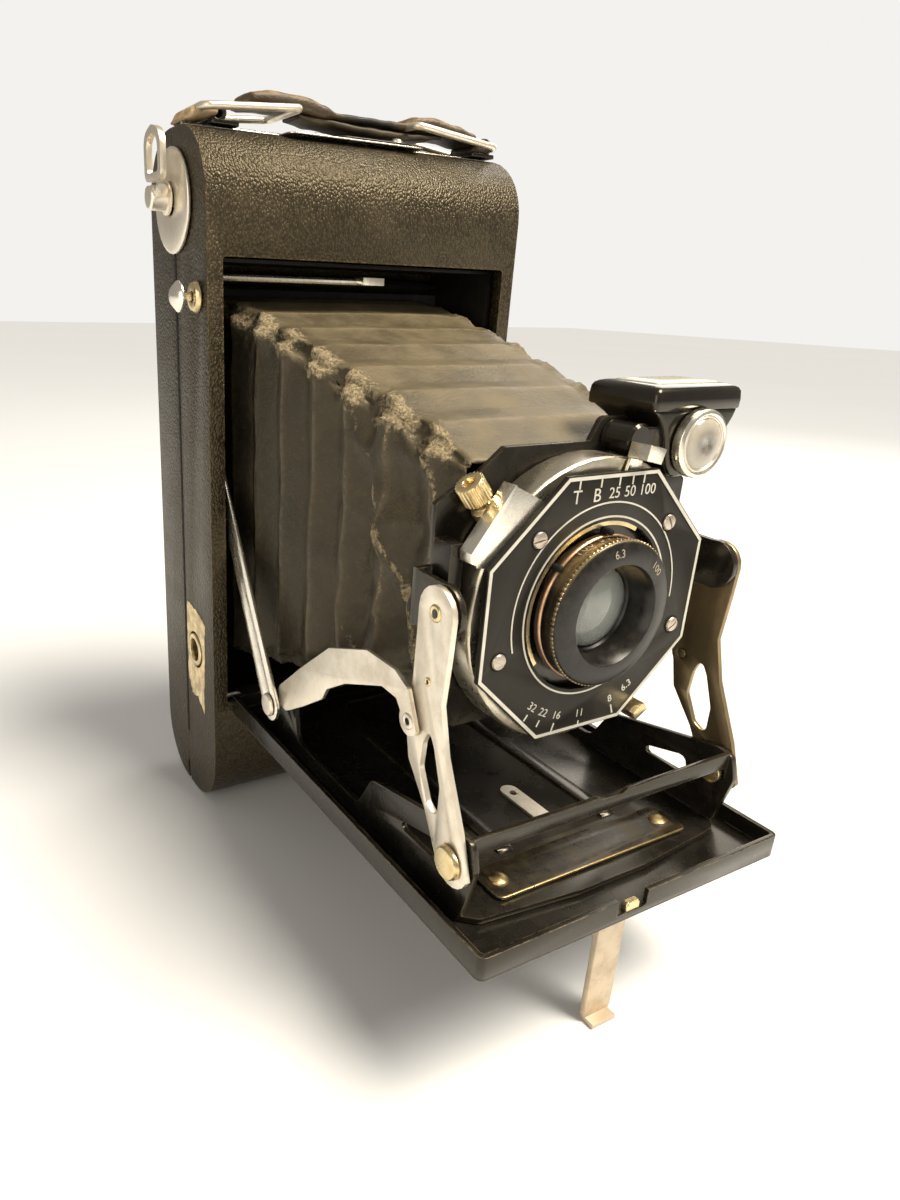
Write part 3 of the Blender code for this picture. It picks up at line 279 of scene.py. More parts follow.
def dull(name, colour, rough=0.6):
    n = Nodes(name)
    cloud = n.noise(0.3, 5, 0.6)
    base = n.mix(n.step(cloud, 0.35, 0.7), colour, tuple(1.9 * c for c in colour))
    return n.set(Base_Color=base, Roughness=rough, Specular_IOR_Level=0.35, Normal=n.bump(n.noise(2.5, 4, 0.6), 0.04, 0.5))


def glass(name, tint, through=0.9, rough=0.03):
    n = Nodes(name)
    haze = n.noise(0.35, 5, 0.6)
    return n.set(
        Base_Color=n.mix(n.step(haze, 0.3, 0.8), tint, tuple(0.8 * c for c in tint)),
        Roughness=n.step(haze, 0.3, 0.8, rough, rough + 0.10),
        IOR=1.52,
        Transmission_Weight=through,
    )


def bellows_leather():
    n = Nodes("bellows_leather")
    wear = n.attribute("wear")
    crease = n.attribute("crease")
    grain = n.maths("SUBTRACT", 1.0, n.cells(2.0, vector=n.stretch(0.8, 1.2, 1.2), smooth=0.5))
    wrinkle = n.noise(0.9, 7, 0.65, 0.6, n.stretch(0.45, 1.3, 1.0))
    cloud = n.noise(0.10, 5, 0.6)
    # painted light: faces turned up take the lighter top colour and the sides the darker one, as the light falls from
    # above
    up = n.step(n.normal()[2], 0.25, 0.8)
    # painted shadow of the body: the sides are darker near the body and lighter towards the front
    out_of_body_shadow = n.step(n.y, -26.0, -58.0)
    side = n.mix(
        out_of_body_shadow,
        n.mix(n.step(cloud, 0.35, 0.7), (0.0068, 0.0054, 0.0036), (0.0160, 0.0128, 0.0084)),
        n.mix(n.step(cloud, 0.35, 0.7), (0.0120, 0.0092, 0.0055), (0.0340, 0.0265, 0.0158)),
    )
    top = n.mix(n.step(cloud, 0.35, 0.7), (0.058, 0.045, 0.0255), (0.122, 0.097, 0.057))
    base = n.mix(up, side, top)
    # the wrinkles are painted lighter, more so on the upward faces: partly wrinkle colour, partly painted sheen
    base = n.mix(n.maths("MULTIPLY", n.step(wrinkle, 0.5, 0.72), n.step(up, 0.0, 1.0, 0.16, 0.35)), base, (0.15, 0.12, 0.078))
    base = n.mix(n.maths("MULTIPLY", crease, n.step(n.noise(0.5, 6, 0.7), 0.35, 0.65, 0.2, 0.75)), base, (0.22, 0.175, 0.11))
    ragged = n.step(n.maths("MULTIPLY", wear, n.step(n.noise(0.8, 8, 0.75), 0.28, 0.62, 0.25, 1.2)), 0.34, 0.60)
    fray = n.noise(1.7, 7, 0.68, 0.6)
    tan = n.mix(n.step(fray, 0.36, 0.66), (0.105, 0.080, 0.046), (0.40, 0.325, 0.205))
    base = n.mix(ragged, base, tan)
    rough = n.maths("ADD", n.step(cloud, 0.3, 0.7, 0.40, 0.52), n.maths("MULTIPLY", ragged, 0.35))
    height = n.maths("ADD", n.maths("MULTIPLY", grain, 0.35), n.maths("ADD", wrinkle, n.maths("MULTIPLY", n.maths("MULTIPLY", fray, ragged), 1.7)))
    return n.set(
        Base_Color=base,
        Roughness=rough,
        Specular_IOR_Level=0.55,
        Specular_Tint=(1.0, 0.88, 0.66),
        Sheen_Weight=0.08,
        Sheen_Tint=(0.9, 0.75, 0.5),
        Normal=n.bump(height, 0.20, 0.75),
    )


def strap_leather():
    n = Nodes("strap_leather")
    grain = n.maths("SUBTRACT", 1.0, n.cells(2.2, smooth=0.5))
    cloud = n.noise(0.25, 6, 0.65)
    middle = n.maths("MULTIPLY", n.step(n.x, -4.5, -1.5), n.step(n.x, 10.0, 13.0, 1.0, 0.0))
    brown = n.mix(n.step(cloud, 0.35, 0.7), (0.075, 0.043, 0.020), (0.27, 0.19, 0.105))
    black = n.mix(n.step(cloud, 0.4, 0.7), (0.012, 0.010, 0.008), (0.035, 0.028, 0.018))
    # painted shade: outside the black middle, faces turned up take the brown and the sides and underside a darker brown
    top = n.step(n.normal()[2], 0.1, 0.8)
    base = n.mix(middle, n.mix(top, (0.045, 0.028, 0.014), brown), black)
    rub = n.maths("MULTIPLY", n.edge(0.9, 0.03, 0.3), n.step(n.noise(0.6, 6, 0.7), 0.4, 0.6))
    base = n.mix(n.maths("MULTIPLY", rub, 0.6), base, (0.36, 0.27, 0.16))
    return n.set(Base_Color=base, Roughness=n.step(cloud, 0.3, 0.7, 0.42, 0.62), Normal=n.bump(grain, 0.12, 0.8))


def plate_metal():
    """Dark printed plate with bare brass at its edges and on its rivets."""
    n = Nodes("nameplate_brass")
    cloud = n.noise(0.3, 6, 0.65)
    bare = n.maths("MAXIMUM", n.step(n.z, 31.83, 31.95), n.edge(0.5, 0.04, 0.2))
    bare = n.maths("MAXIMUM", bare, n.step(n.y, -104.1, -104.4))
    dark = n.mix(n.step(cloud, 0.4, 0.7), (0.022, 0.017, 0.010), (0.075, 0.055, 0.028))
    brass = n.mix(n.step(cloud, 0.4, 0.7), (0.78, 0.62, 0.32), (0.52, 0.36, 0.17))
    return n.set(
        Base_Color=n.mix(bare, dark, brass),
        Metallic=n.step(bare, 0.0, 1.0, 0.35, 1.0),
        Roughness=n.step(cloud, 0.3, 0.7, 0.24, 0.42),
        Normal=n.bump(n.noise(3.0, 4, 0.6), 0.01, 0.6),
    )


LEATHER = leather()
ENAMEL = enamel("black_enamel")
GLOSSY = enamel("finder_enamel", wear=0.45, gloss=0.12, colour=(0.006, 0.0048, 0.0035), shine=0.5, coat=0.3)
PLATE_BLACK = enamel("faceplate_black", wear=0.12, gloss=0.36, colour=(0.0095, 0.0088, 0.008), brown=(0.3, 0.28, 0.24), shine=0.30, coat=0.05)
BED = enamel("bed_enamel", wear=1.0, gloss=0.20, brown=(0.46, 0.36, 0.23), leather_below=28.75)
NICKEL = metal("aged_nickel", (0.86, 0.79, 0.67), (0.55, 0.46, 0.34), 0.36, 0.86, 0.45)
BRIGHT = metal("bright_nickel", (0.90, 0.86, 0.76), (0.52, 0.42, 0.28), 0.24, 0.96, 0.35)
DIAL = metal("dial_nickel", (0.62, 0.57, 0.46), (0.34, 0.29, 0.21), 0.30, 0.95, 0.55, edge=(0.86, 0.82, 0.70))
# the right strut and link are painted in shade on their faces towards the middle of the camera
SHADED = metal("strut_nickel_right_shaded_inside", (0.86, 0.79, 0.67), (0.55, 0.46, 0.34), 0.38, 0.86, 0.45, edge=(0.88, 0.80, 0.64), inner=(32.75, (0.34, 0.26, 0.15), (0.17, 0.125, 0.07)))
SHADED_LINK = metal("link_nickel_right_shaded_inside", (0.86, 0.79, 0.67), (0.55, 0.46, 0.34), 0.38, 0.86, 0.45, edge=(0.88, 0.80, 0.64), inner=(33.9, (0.34, 0.26, 0.15), (0.17, 0.125, 0.07)))
BRASS = metal("worn_brass", (0.80, 0.66, 0.38), (0.48, 0.34, 0.17), 0.28, 0.95, 0.5)
COPPER = metal("copper_edge", (0.66, 0.42, 0.26), (0.26, 0.15, 0.09), 0.35, 0.9, 0.5)
OLIVE = metal("barrel_brass", (0.30, 0.235, 0.135), (0.13, 0.10, 0.062), 0.36, 0.85, 0.6, edge=(0.55, 0.43, 0.24))
SILVER = metal("silver_paint", (0.66, 0.635, 0.565), (0.46, 0.43, 0.36), 0.45, 0.45, 0.4)
SCREW = metal("screw_nickel", (0.60, 0.53, 0.45), (0.34, 0.27, 0.21), 0.34, 0.9, 0.55)
KNURL = metal("knurl_brass", (0.46, 0.37, 0.21), (0.12, 0.095, 0.06), 0.34, 0.9, 0.6)
LEG = metal("leg_nickel", (0.62, 0.51, 0.375), (0.42, 0.33, 0.23), 0.48, 0.6, 0.6)
FAINT = metal("worn_engraving", (0.42, 0.36, 0.27), (0.2, 0.16, 0.11), 0.5, 0.4, 0.4)
INNER = dull("inside_black", (0.008, 0.0065, 0.005), 0.5)
DARK = dull("shadow_black", (0.003, 0.0026, 0.0022), 0.75)
CREAM = dull("bare_core", (0.56, 0.455, 0.285), 0.85)
LENS_GLASS = glass("lens_glass", (0.80, 0.84, 0.80), 0.75, 0.04)
WINDOW_GLASS = glass("window_glass", (0.74, 0.70, 0.58), 0.15, 0.08)
RED_GLASS = glass("red_glass", (0.55, 0.03, 0.02), 0.7, 0.08)
BELLOWS = bellows_leather()
STRAP = strap_leather()
STRAP_DARK = dull("strap_lining_leather", (0.030, 0.0215, 0.012), 0.5)
NAMEPLATE = plate_metal()


def barrel():
    """The focusing ring: black paint, worn through to brass where the fingers turn it."""
    n = Nodes("barrel_paint")
    cloud = n.noise(0.5, 6, 0.7)
    back = n.step(n.y, -98.2, -98.6, 1.0, 0.0)
    worn = n.maths("MULTIPLY", n.step(n.z, LENS_Z + 4.0, LENS_Z + 10.0), back)
    worn = n.maths("MULTIPLY", worn, n.step(cloud, 0.28, 0.55, 0.55, 1.0))
    black = n.mix(n.step(cloud, 0.4, 0.7), (0.008, 0.0072, 0.006), (0.022, 0.019, 0.015))
    brass = n.mix(n.step(cloud, 0.4, 0.7), (0.42, 0.325, 0.175), (0.22, 0.165, 0.092))
    return n.set(
        Base_Color=n.mix(worn, black, brass),
        Metallic=n.maths("MULTIPLY", worn, 0.85),
        Roughness=n.step(cloud, 0.3, 0.7, 0.26, 0.38),
        Specular_IOR_Level=0.4,
        Normal=n.bump(n.noise(3.0, 4, 0.6), 0.008, 0.5),
    )


BARREL = barrel()


def finder_glass():
    """A small thick lens, its middle painted dark as the shade of the chamber behind it."""
    n = Nodes("finder_glass")
    away = n.maths("SQRT", n.maths("ADD", n.maths("POWER", n.maths("SUBTRACT", n.x, 19.6), 2.0), n.maths("POWER", n.maths("SUBTRACT", n.z, 104.2), 2.0)))
    haze = n.noise(0.6, 5, 0.6)
    # painted shade: dark in the middle, paler towards the rim
    deep = n.mix(n.step(away, 0.6, 3.9), (0.105, 0.092, 0.075), (0.44, 0.40, 0.335))
    return n.set(
        Base_Color=n.mix(n.maths("MULTIPLY", n.step(haze, 0.4, 0.7), 0.5), deep, (0.36, 0.33, 0.28)),
        Roughness=0.09,
        Specular_IOR_Level=0.7,
        Coat_Weight=0.8,
        Coat_Roughness=0.03,
        Normal=n.bump(n.noise(0.35, 2, 0.5), 0.25, 0.6),
    )


FINDER_GLASS = finder_glass()
TAN = dull("tan_leather", (0.30, 0.215, 0.12), 0.7)

FINISH = {
    "front_shell": LEATHER, "back_cover": LEATHER, "bed_pan": BED, "bed_frame": ENAMEL,
    "film_chamber": INNER, "lens_standard": ENAMEL, "shutter_housing": ENAMEL, "shutter_faceplate": PLATE_BLACK,
    "finder_body": GLOSSY, "finder_cap": GLOSSY, "focusing_ring": BARREL, "rear_lens_cell": INNER,
    "iris_blades": INNER, "takeup_spool": INNER, "supply_spool": INNER, "pressure_plate": INNER,
    "key_plate": NICKEL, "key_shaft": NICKEL, "key_wing": NICKEL, "strut_left": NICKEL, "strut_right": SHADED,
    "bridge_link_left": NICKEL, "bridge_link_right": SHADED_LINK, "bed_brace_left": BRIGHT, "bed_brace_right": BRIGHT,
    "support_leg": LEG, "latch_bar": BRIGHT, "handle_loop_left": BRIGHT, "handle_loop_right": BRIGHT,
    "film_roller_top": INNER, "film_roller_bottom": INNER, "finder_lens": BRIGHT, "release_button": BRIGHT,
    "speed_lever": BRIGHT, "handle_bracket_left": ENAMEL, "handle_bracket_right": ENAMEL,
    "nameplate": NAMEPLATE, "strut_pivot_left": BRASS, "strut_pivot_right": BRASS, "brace_pivot_left": NICKEL,
    "brace_pivot_right": NICKEL, "tripod_bush": BRASS, "aperture_lever": BRASS, "button_collar": BRASS,
    "dial_ring": DIAL, "release_lever": BRIGHT, "cable_socket": BRASS, "bed_hinge_pin": NICKEL,
    "pressure_spring": NICKEL, "back_latch": ENAMEL, "front_lens": LENS_GLASS, "finder_window": WINDOW_GLASS,
    "bellows": BELLOWS, "handle_strap": STRAP, "red_window": RED_GLASS,
}
for i in range(1, 5):
    FINISH[f"faceplate_screw_{i}"] = NICKEL

EDGE = {"front_shell": 0.9, "back_cover": 0.9, "bed_pan": 0.35, "bed_frame": 0.22, "finder_body": 0.7, "finder_cap": 0.75,
        "key_wing": 0.35, "handle_strap": 0.5, "strut_left": 0.22, "strut_right": 0.22, "bridge_link_left": 0.2,
        "bridge_link_right": 0.2, "bed_brace_left": 0.18, "bed_brace_right": 0.18, "shutter_faceplate": 0.12,
        "lens_standard": 0.15, "support_leg": 0.25, "key_plate": 0.2, "release_lever": 0.12, "nameplate": 0.14}


def finish_cad(node, obj):
    """Welded, softly bevelled and smooth, with its own finish."""
    obj.data.materials.clear()
    obj.data.materials.append(FINISH[node])
    for polygon in obj.data.polygons:
        polygon.use_smooth = True
    weld = obj.modifiers.new("weld", "WELD")
    weld.merge_threshold = 2e-6
    flat = obj.modifiers.new("flat", "DECIMATE")
    flat.decimate_type = "DISSOLVE"
    flat.angle_limit = math.radians(0.6)
    bevel = obj.modifiers.new("bevel", "BEVEL")
    bevel.width = EDGE.get(node, 0.12) / 1000
    bevel.segments = 3 if EDGE.get(node, 0.12) > 0.3 else 2
    bevel.limit_method = "ANGLE"
    bevel.angle_limit = math.radians(34)
    bevel.use_clamp_overlap = True
    bevel.harden_normals = True


for node, obj in NODES.items():
    finish_cad(node, obj)


# ------------------------------------------------------------------ mesh helpers
def piece(name, mesh_or_bmesh, material, body, smooth=True):
    if isinstance(mesh_or_bmesh, bmesh.types.BMesh):
        mesh = bpy.data.meshes.new(name)
        bmesh.ops.recalc_face_normals(mesh_or_bmesh, faces=mesh_or_bmesh.faces)
        mesh_or_bmesh.to_mesh(mesh)
        mesh_or_bmesh.free()
    else:
        mesh = mesh_or_bmesh
    obj = bpy.data.objects.new(name, mesh)
    SCENE.collection.objects.link(obj)
    mesh.materials.clear()
    mesh.materials.append(material)
    for polygon in mesh.polygons:
        polygon.use_smooth = smooth
    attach(obj, body)
    return obj


def add_bevel(obj, width_mm, segments=2, angle=34):
    bevel = obj.modifiers.new("bevel", "BEVEL")
    bevel.width = width_mm / 1000
    bevel.segments = segments
    bevel.limit_method = "ANGLE"
    bevel.angle_limit = math.radians(angle)
    bevel.harden_normals = True
    return obj


def wire(name, points, radius_mm, material, body, closed=False, sides=10):
    """A round wire through points given in the design's millimetres."""
    curve = bpy.data.curves.new(name, "CURVE")
    curve.dimensions = "3D"
    curve.bevel_depth = radius_mm / 1000
    curve.bevel_resolution = max(1, sides // 4)
    curve.use_fill_caps = True
    spline = curve.splines.new("POLY")
    spline.points.add(len(points) - 1)
    for point, place in zip(spline.points, points):
        point.co = (*P(*place), 1)
    spline.use_cyclic_u = closed
    helper = bpy.data.objects.new(name + "_curve", curve)
    SCENE.collection.objects.link(helper)
    bpy.context.view_layer.update()
    mesh = bpy.data.meshes.new_from_object(helper.evaluated_get(bpy.context.evaluated_depsgraph_get()))
    bpy.data.objects.remove(helper)
    return piece(name, mesh, material, body)


def ring_mesh(centre, axis, profile, sides=48, start=0.0, end=360.0):
    """A turned shape: profile is (along, radius) in millimetres, closed on itself."""
    bm = bmesh.new()
    axis = Vector(axis).normalized()
    side = axis.orthogonal().normalized()
    if abs(axis.y) > 0.9:
        side = Vector((1, 0, 0))
    up = axis.cross(side)
    if abs(axis.y) > 0.9:
        up = Vector((0, 0, 1))
    full = end - start >= 360
    count = sides if full else sides + 1
    rings = []
    for i in range(count):
        a = math.radians(start + (end - start) * i / sides)
        out = side * math.cos(a) + up * math.sin(a)
        rings.append([bm.verts.new(centre + (axis * along + out * radius) / 1000) for along, radius in profile])
    for i in range(sides):
        one, two = rings[i], rings[(i + 1) % count]
        for k in range(len(profile)):
            bm.faces.new((one[k], one[(k + 1) % len(profile)], two[(k + 1) % len(profile)], two[k]))
    if not full:
        bm.faces.new(rings[0])
        bm.faces.new(rings[-1])
    return bm


def flat_shape(outer, holes, depth0, depth1):
    """A plate in the lens's plane between two depths, from (x, z) outlines round the lens."""
    curve = bpy.data.curves.new("shape", "CURVE")
    curve.dimensions = "2D"
    curve.fill_mode = "BOTH"
    curve.extrude = abs(depth1 - depth0) / 2000
    for outline in [outer, *holes]:
        spline = curve.splines.new("POLY")
        spline.points.add(len(outline) - 1)
        for point, (x, z) in zip(spline.points, outline):
            point.co = (x / 1000, z / 1000, 0, 1)
        spline.use_cyclic_u = True
    helper = bpy.data.objects.new("shape", curve)
    SCENE.collection.objects.link(helper)
    bpy.context.view_layer.update()
    mesh = bpy.data.meshes.new_from_object(helper.evaluated_get(bpy.context.evaluated_depsgraph_get()))
    bpy.data.objects.remove(helper)
    mesh.transform(
        Matrix.Translation(P(0, (depth0 + depth1) / 2, LENS_Z)) @ Matrix.Rotation(math.radians(90), 4, "X")
    )
    return mesh


def arc_points(radius, start, end, steps):
    return [
        (radius * math.cos(math.radians(start + (end - start) * i / steps)), radius * math.sin(math.radians(start + (end - start) * i / steps)))
        for i in range(steps + 1)
    ]


def band(name, inner, outer, start, end, depth0, depth1, material, body):
    steps = max(6, int(abs(end - start) / 4))
    if end - start >= 360:
        bm = ring_mesh(P(0, depth0, LENS_Z), (0, -1, 0), [(0, inner), (0, outer), (depth0 - depth1, outer), (depth0 - depth1, inner)], 96)
        return piece(name, bm, material, body, smooth=False)
    outline = arc_points(outer, start, end, steps) + arc_points(inner, end, start, steps)
    return piece(name, flat_shape(outline, [], depth0, depth1), material, body, smooth=False)


def text_mesh(string, size_mm, thick_mm=0.06):
    curve = bpy.data.curves.new("text", "FONT")
    curve.body = string
    curve.size = size_mm / 1000
    curve.extrude = thick_mm / 2000
    curve.align_x = "CENTER"
    curve.align_y = "CENTER"
    curve.resolution_u = 3
    helper = bpy.data.objects.new("text", curve)
    SCENE.collection.objects.link(helper)
    bpy.context.view_layer.update()
    mesh = bpy.data.meshes.new_from_object(helper.evaluated_get(bpy.context.evaluated_depsgraph_get()))
    bpy.data.objects.remove(helper)
    return mesh


def dial_text(name, string, size_mm, x, z, turn, depth, material, body):
    mesh = text_mesh(string, size_mm)
    mesh.transform(
        Matrix.Translation(P(x, depth, LENS_Z + z))
        @ Matrix.Rotation(math.radians(90), 4, "X")
        @ Matrix.Rotation(math.radians(turn), 4, "Z")
    )
    return piece(name, mesh, material, body, smooth=False)


# ------------------------------------------------------------------ faceplate
FACE = -77.0
OCT = [(10.1, 23.3), (24.4, 9.65), (24.4, -9.65), (10.1, -23.3), (-10.1, -23.3), (-24.4, -9.65), (-24.4, 9.65), (-10.1, 23.3)]


def scaled(outline, share):
    return [(x * share, z * share) for x, z in outline]


piece("faceplate_border", flat_shape(scaled(OCT, 0.992), [scaled(OCT, 0.967)], FACE - 0.02, FACE - 0.10), SILVER, "standard", smooth=False)
band("faceplate_line", 18.29, 18.57, -2, 197, FACE - 0.02, FACE - 0.08, SILVER, "standard")
band("faceplate_inner_line", 15.84, 16.16, 0, 360, FACE + 0.02, FACE - 0.10, SILVER, "standard")
band("faceplate_rim", 14.5, 15.2, 62, 215, FACE + 0.4, FACE + 0.1, BRASS, "standard")

marks = []
for i, (label, x, size) in enumerate((("T", -7.9, 3.2), ("B", -3.5, 3.2), ("25", 0.4, 2.6), ("50", 3.9, 2.6), ("100", 8.0, 2.6))):
    marks.append((f"speed_{i}", label, size, x, 19.75 if i < 2 else 19.9, 0))
for i, (label, angle) in enumerate((("32", 235), ("22", 244), ("16", 254), ("11", 270), ("8", 291), ("6.3", 303))):
    a = math.radians(angle)
    marks.append((f"stop_{i}", label, 2.1, 20.3 * math.cos(a), 20.3 * math.sin(a), angle - 270))
for name, label, size, x, z, turn in marks:
    dial_text(name, label, size, x, z, turn, FACE - 0.04, SILVER, "standard")


def tick(name, x0, z0, x1, z1, wide=0.32):
    dx, dz = x1 - x0, z1 - z0
    long = math.hypot(dx, dz)
    nx, nz = -dz / long * wide / 2, dx / long * wide / 2
    outline = [(x0 + nx, z0 + nz), (x0 - nx, z0 - nz), (x1 - nx, z1 - nz), (x1 + nx, z1 + nz)]
    piece(name, flat_shape(outline, [], FACE - 0.02, FACE - 0.08), SILVER, "standard", smooth=False)


for i, x in enumerate((-7.6, -2.9, 1.2, 4.2, 6.8)):
    tick(f"speed_tick_{i}", x, 21.1, x, 22.5)
for i, angle in enumerate((235, 244, 254, 270, 291)):
    a = math.radians(angle)
    reach = 23.3 / abs(math.sin(a)) if 246 < angle < 294 else 23.6
    reach = min(reach, 24.2) - 0.5
    tick(f"stop_tick_{i}", 21.8 * math.cos(a), 21.8 * math.sin(a), reach * math.cos(a), reach * math.sin(a))

# ------------------------------------------------------------------ bellows
BELLOWS_SECTIONS = [(25.6, 31.0, 37.2, 125.4), (8.0, 30.6, 39.0, 123.4), (-20.0, 29.0, 47.0, 117.0), (-45.0, 26.4, 54.0, 110.0), (-66.9, 23.4, 58.8, 102.4)]


def section_at(depth):
    for one, two in zip(BELLOWS_SECTIONS, BELLOWS_SECTIONS[1:]):
        if depth >= two[0]:
            share = (depth - one[0]) / (two[0] - one[0])
            return [a + (b - a) * share for a, b in zip(one[1:], two[1:])]
    return BELLOWS_SECTIONS[-1][1:]


PLEATS = 8


def phase_of(t):
    return t * PLEATS - math.floor(t * PLEATS)


def build_bellows():
    pleats, per = PLEATS, 14
    rear, front = 25.2, -66.9
    count = pleats * per
    side_steps, corner_steps = 26, 6
    bm = bmesh.new()
    wear_of, crease_of, rings = {}, {}, []
    for i in range(count + 1):
        t = i / count
        depth = rear + (front - rear) * t
        wide, low, high = section_at(depth)
        phase = t * pleats
        tri = 1 - abs((phase % 1.0) * 2 - 1)  # 0 at a fold in, 1 at a fold out
        fade = min(1.0, 6 * t, 9 * (1 - t))
        sharp = tri ** 0.8
        side_out = (sharp - 0.55) * 3.2 * fade
        top_out = (0.5 - tri) * 1.0 * fade
        bottom_out = (0.5 - sharp) * 1.3 * fade
        ring = []

        def put(x, z, edge_out, kind, along):
            position = P(x, depth, z)
            ring.append((position, kind, along, tri, t))

        w = wide - 0.6 + side_out
        a, b = low - bottom_out + 0.4, high + top_out - 0.4
        cut_top = (0.7 + 4.6 * (1 - sharp) ** 1.3) * fade + 0.7
        cut_low = (1.4 + 3.6 * (1 - sharp)) * fade + 0.8
        top_cut_side = (0.4 + 2.9 * sharp ** 1.5) * fade + 0.5
        corners = [
            ((-w, b - cut_top), (-w + top_cut_side, b)),
            ((w - top_cut_side, b), (w, b - cut_top)),
            ((w, a + cut_low), (w - top_cut_side, a)),
            ((-w + top_cut_side, a), (-w, a + cut_low)),
        ]
        kinds = ["corner_left", "corner_right", "corner_low_right", "corner_low_left"]
        faces = ["top", "right", "bottom", "left"]
        for c in range(4):
            (x0, z0), (x1, z1) = corners[c]
            for k in range(corner_steps):
                s = k / corner_steps
                bulge = math.sin(math.pi * s) * 0.5
                nx, nz = (z1 - z0), -(x1 - x0)
                long = math.hypot(nx, nz) or 1.0
                put(x0 + (x1 - x0) * s - nx / long * bulge * -1, z0 + (z1 - z0) * s - nz / long * bulge * -1, 0, kinds[c], s)
            (x2, z2) = corners[(c + 1) % 4][0]
            for k in range(side_steps):
                s = k / side_steps
                put(x1 + (x2 - x1) * s, z1 + (z2 - z1) * s, 0, faces[c], s)
        rings.append(ring)
    verts = []
    for ring in rings:
        row = []
        for position, kind, along, tri, t in ring:
            mm = position * 1000
            fade = min(1.0, 5 * t, 10 * (1 - t))
            wear, crease = 0.0, 0.0
            shift = Vector((0, 0, 0))
            slow = noise.noise_vector(mm * 0.07)
            quick = noise.noise_vector(mm * 0.32 + Vector((9, 3, 5)))
            calm = 0.35 if kind == "top" else 1.0
            shift += (slow * 0.6 + quick * 0.18) * calm
            if kind == "corner_left" or (kind == "top" and along < 0.09) or (kind == "left" and along > 0.95):
                near = 1.0 if kind == "corner_left" else (1 - along / 0.09 if kind == "top" else (along - 0.95) / 0.05)
                lobe = math.sin(math.pi * min(1.0, max(0.0, (phase_of(t) + 0.18) % 1.0)))
                wear = max(0.0, near) * (0.30 + 0.75 * lobe ** 1.5 + 0.35 * noise.noise(mm * 0.25))
                shift.x -= (1.5 * lobe - 0.75) * near
                shift.z += (0.9 * lobe - 0.5) * near
                shift += noise.noise_vector(mm * 0.55 + Vector((2, 7, 1))) * 1.1 * near
                shift += noise.noise_vector(mm * 1.5 + Vector((5, 1, 8))) * 0.32 * near
            elif kind in ("corner_right",):
                wear = 0.40 + 0.3 * noise.noise(mm * 0.3)
                shift += noise.noise_vector(mm * 0.8) * 0.35
            elif kind.startswith("corner_low"):
                wear = 0.35
                shift += noise.noise_vector(mm * 0.8) * 0.5
            if kind == "left":
                height = mm.z
                front_share = max(0.0, min(1.0, (t - 0.52) / 0.3))
                # long slanting folds where the side is crushed near the front
                for slope, base, width, deep in ((1.9, 118.0, 2.6, 1.5), (2.3, 148.0, 2.2, 1.3), (1.3, 92.0, 3.0, 1.6)):
                    away = (height + slope * (mm.y + HALF_DEPTH + 66.0) * -1 - base + 62.0) / math.sqrt(1 + slope * slope)
                    fold = math.exp(-(away / width) ** 2)
                    shift.x -= deep * fold * front_share
                    wear = max(wear, (fold ** 5) * front_share * (0.74 + 0.6 * noise.noise(mm * 0.2)))
                shift += noise.noise_vector(mm * 0.16 + Vector((4, 4, 4))) * 1.7 * front_share
                shift += noise.noise_vector(mm * 0.42 + Vector((1, 6, 2))) * 0.5 * front_share
                wear = max(wear, (tri ** 8) * (0.12 + 0.5 * front_share) * (0.7 + noise.noise(mm * 0.15)))
            if kind == "top":
                crease = (1 - tri) ** 9
                end = max(0.0, 1 - (1 - along) / 0.10)
                shift.z -= end * (1 - tri) * 0.8
            else:
                crease = tri ** 10 * 0.5
            vert = bm.verts.new(position + shift * fade / 1000)
            wear_of[vert] = max(0.0, min(1.0, wear)) * min(1.0, 14 * t)
            crease_of[vert] = crease * min(1.0, 8 * t)
            row.append(vert)
        verts.append(row)
    size = len(verts[0])
    for one, two in zip(verts, verts[1:]):
        for k in range(size):
            bm.faces.new((one[k], one[(k + 1) % size], two[(k + 1) % size], two[k]))
    order = [v for row in verts for v in row]
    bm.verts.index_update()
    wears = [wear_of[v] for v in order]
    creases = [crease_of[v] for v in order]
    mesh = bpy.data.meshes.new("bellows_folds")
    bmesh.ops.recalc_face_normals(bm, faces=bm.faces)
    bm.to_mesh(mesh)
    bm.free()
    for name, values in (("wear", wears), ("crease", creases)):
        attribute = mesh.attributes.new(name, "FLOAT", "POINT")
        attribute.data.foreach_set("value", values)
    return mesh


def applied(obj):
    """The object's mesh with its modifiers applied."""
    bpy.context.view_layer.update()
    mesh = bpy.data.meshes.new_from_object(obj.evaluated_get(bpy.context.evaluated_depsgraph_get()))
    obj.modifiers.clear()
    obj.data = mesh
    return obj


folds = piece("bellows_folds", build_bellows(), BELLOWS, "body")
solid = folds.modifiers.new("thickness", "SOLIDIFY")
solid.thickness = 0.0005
solid.offset = -1
applied(folds)
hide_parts("bellows")
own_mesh(folds)


# ------------------------------------------------------------------ small fittings
def toothed(name, centre, axis, low, high, along0, along1, teeth, material, body):
    """A knurled band: a ring whose rim rises and falls."""
    bm = bmesh.new()
    axis = Vector(axis).normalized()
    side = Vector((1, 0, 0)) if abs(axis.x) < 0.9 else Vector((0, 0, 1))
    side = (side - axis * side.dot(axis)).normalized()
    up = axis.cross(side)
    rows = []
    for i in range(teeth * 4):
        a = 2 * math.pi * i / (teeth * 4)
        r = (low, low, high, high)[i % 4]
        out = side * math.cos(a) + up * math.sin(a)
        inner = low - 0.35
        rows.append(
            [
                bm.verts.new(centre + (axis * along + out * radius) / 1000)
                for along, radius in ((along0, inner), (along0, r - 0.08), (along0 + 0.1, r), (along1 - 0.1, r), (along1, r - 0.08), (along1, inner))
            ]
        )
    for i, one in enumerate(rows):
        two = rows[(i + 1) % len(rows)]
        for k in range(6):
            bm.faces.new((one[k], one[(k + 1) % 6], two[(k + 1) % 6], two[k]))
    return piece(name, bm, material, body, smooth=False)


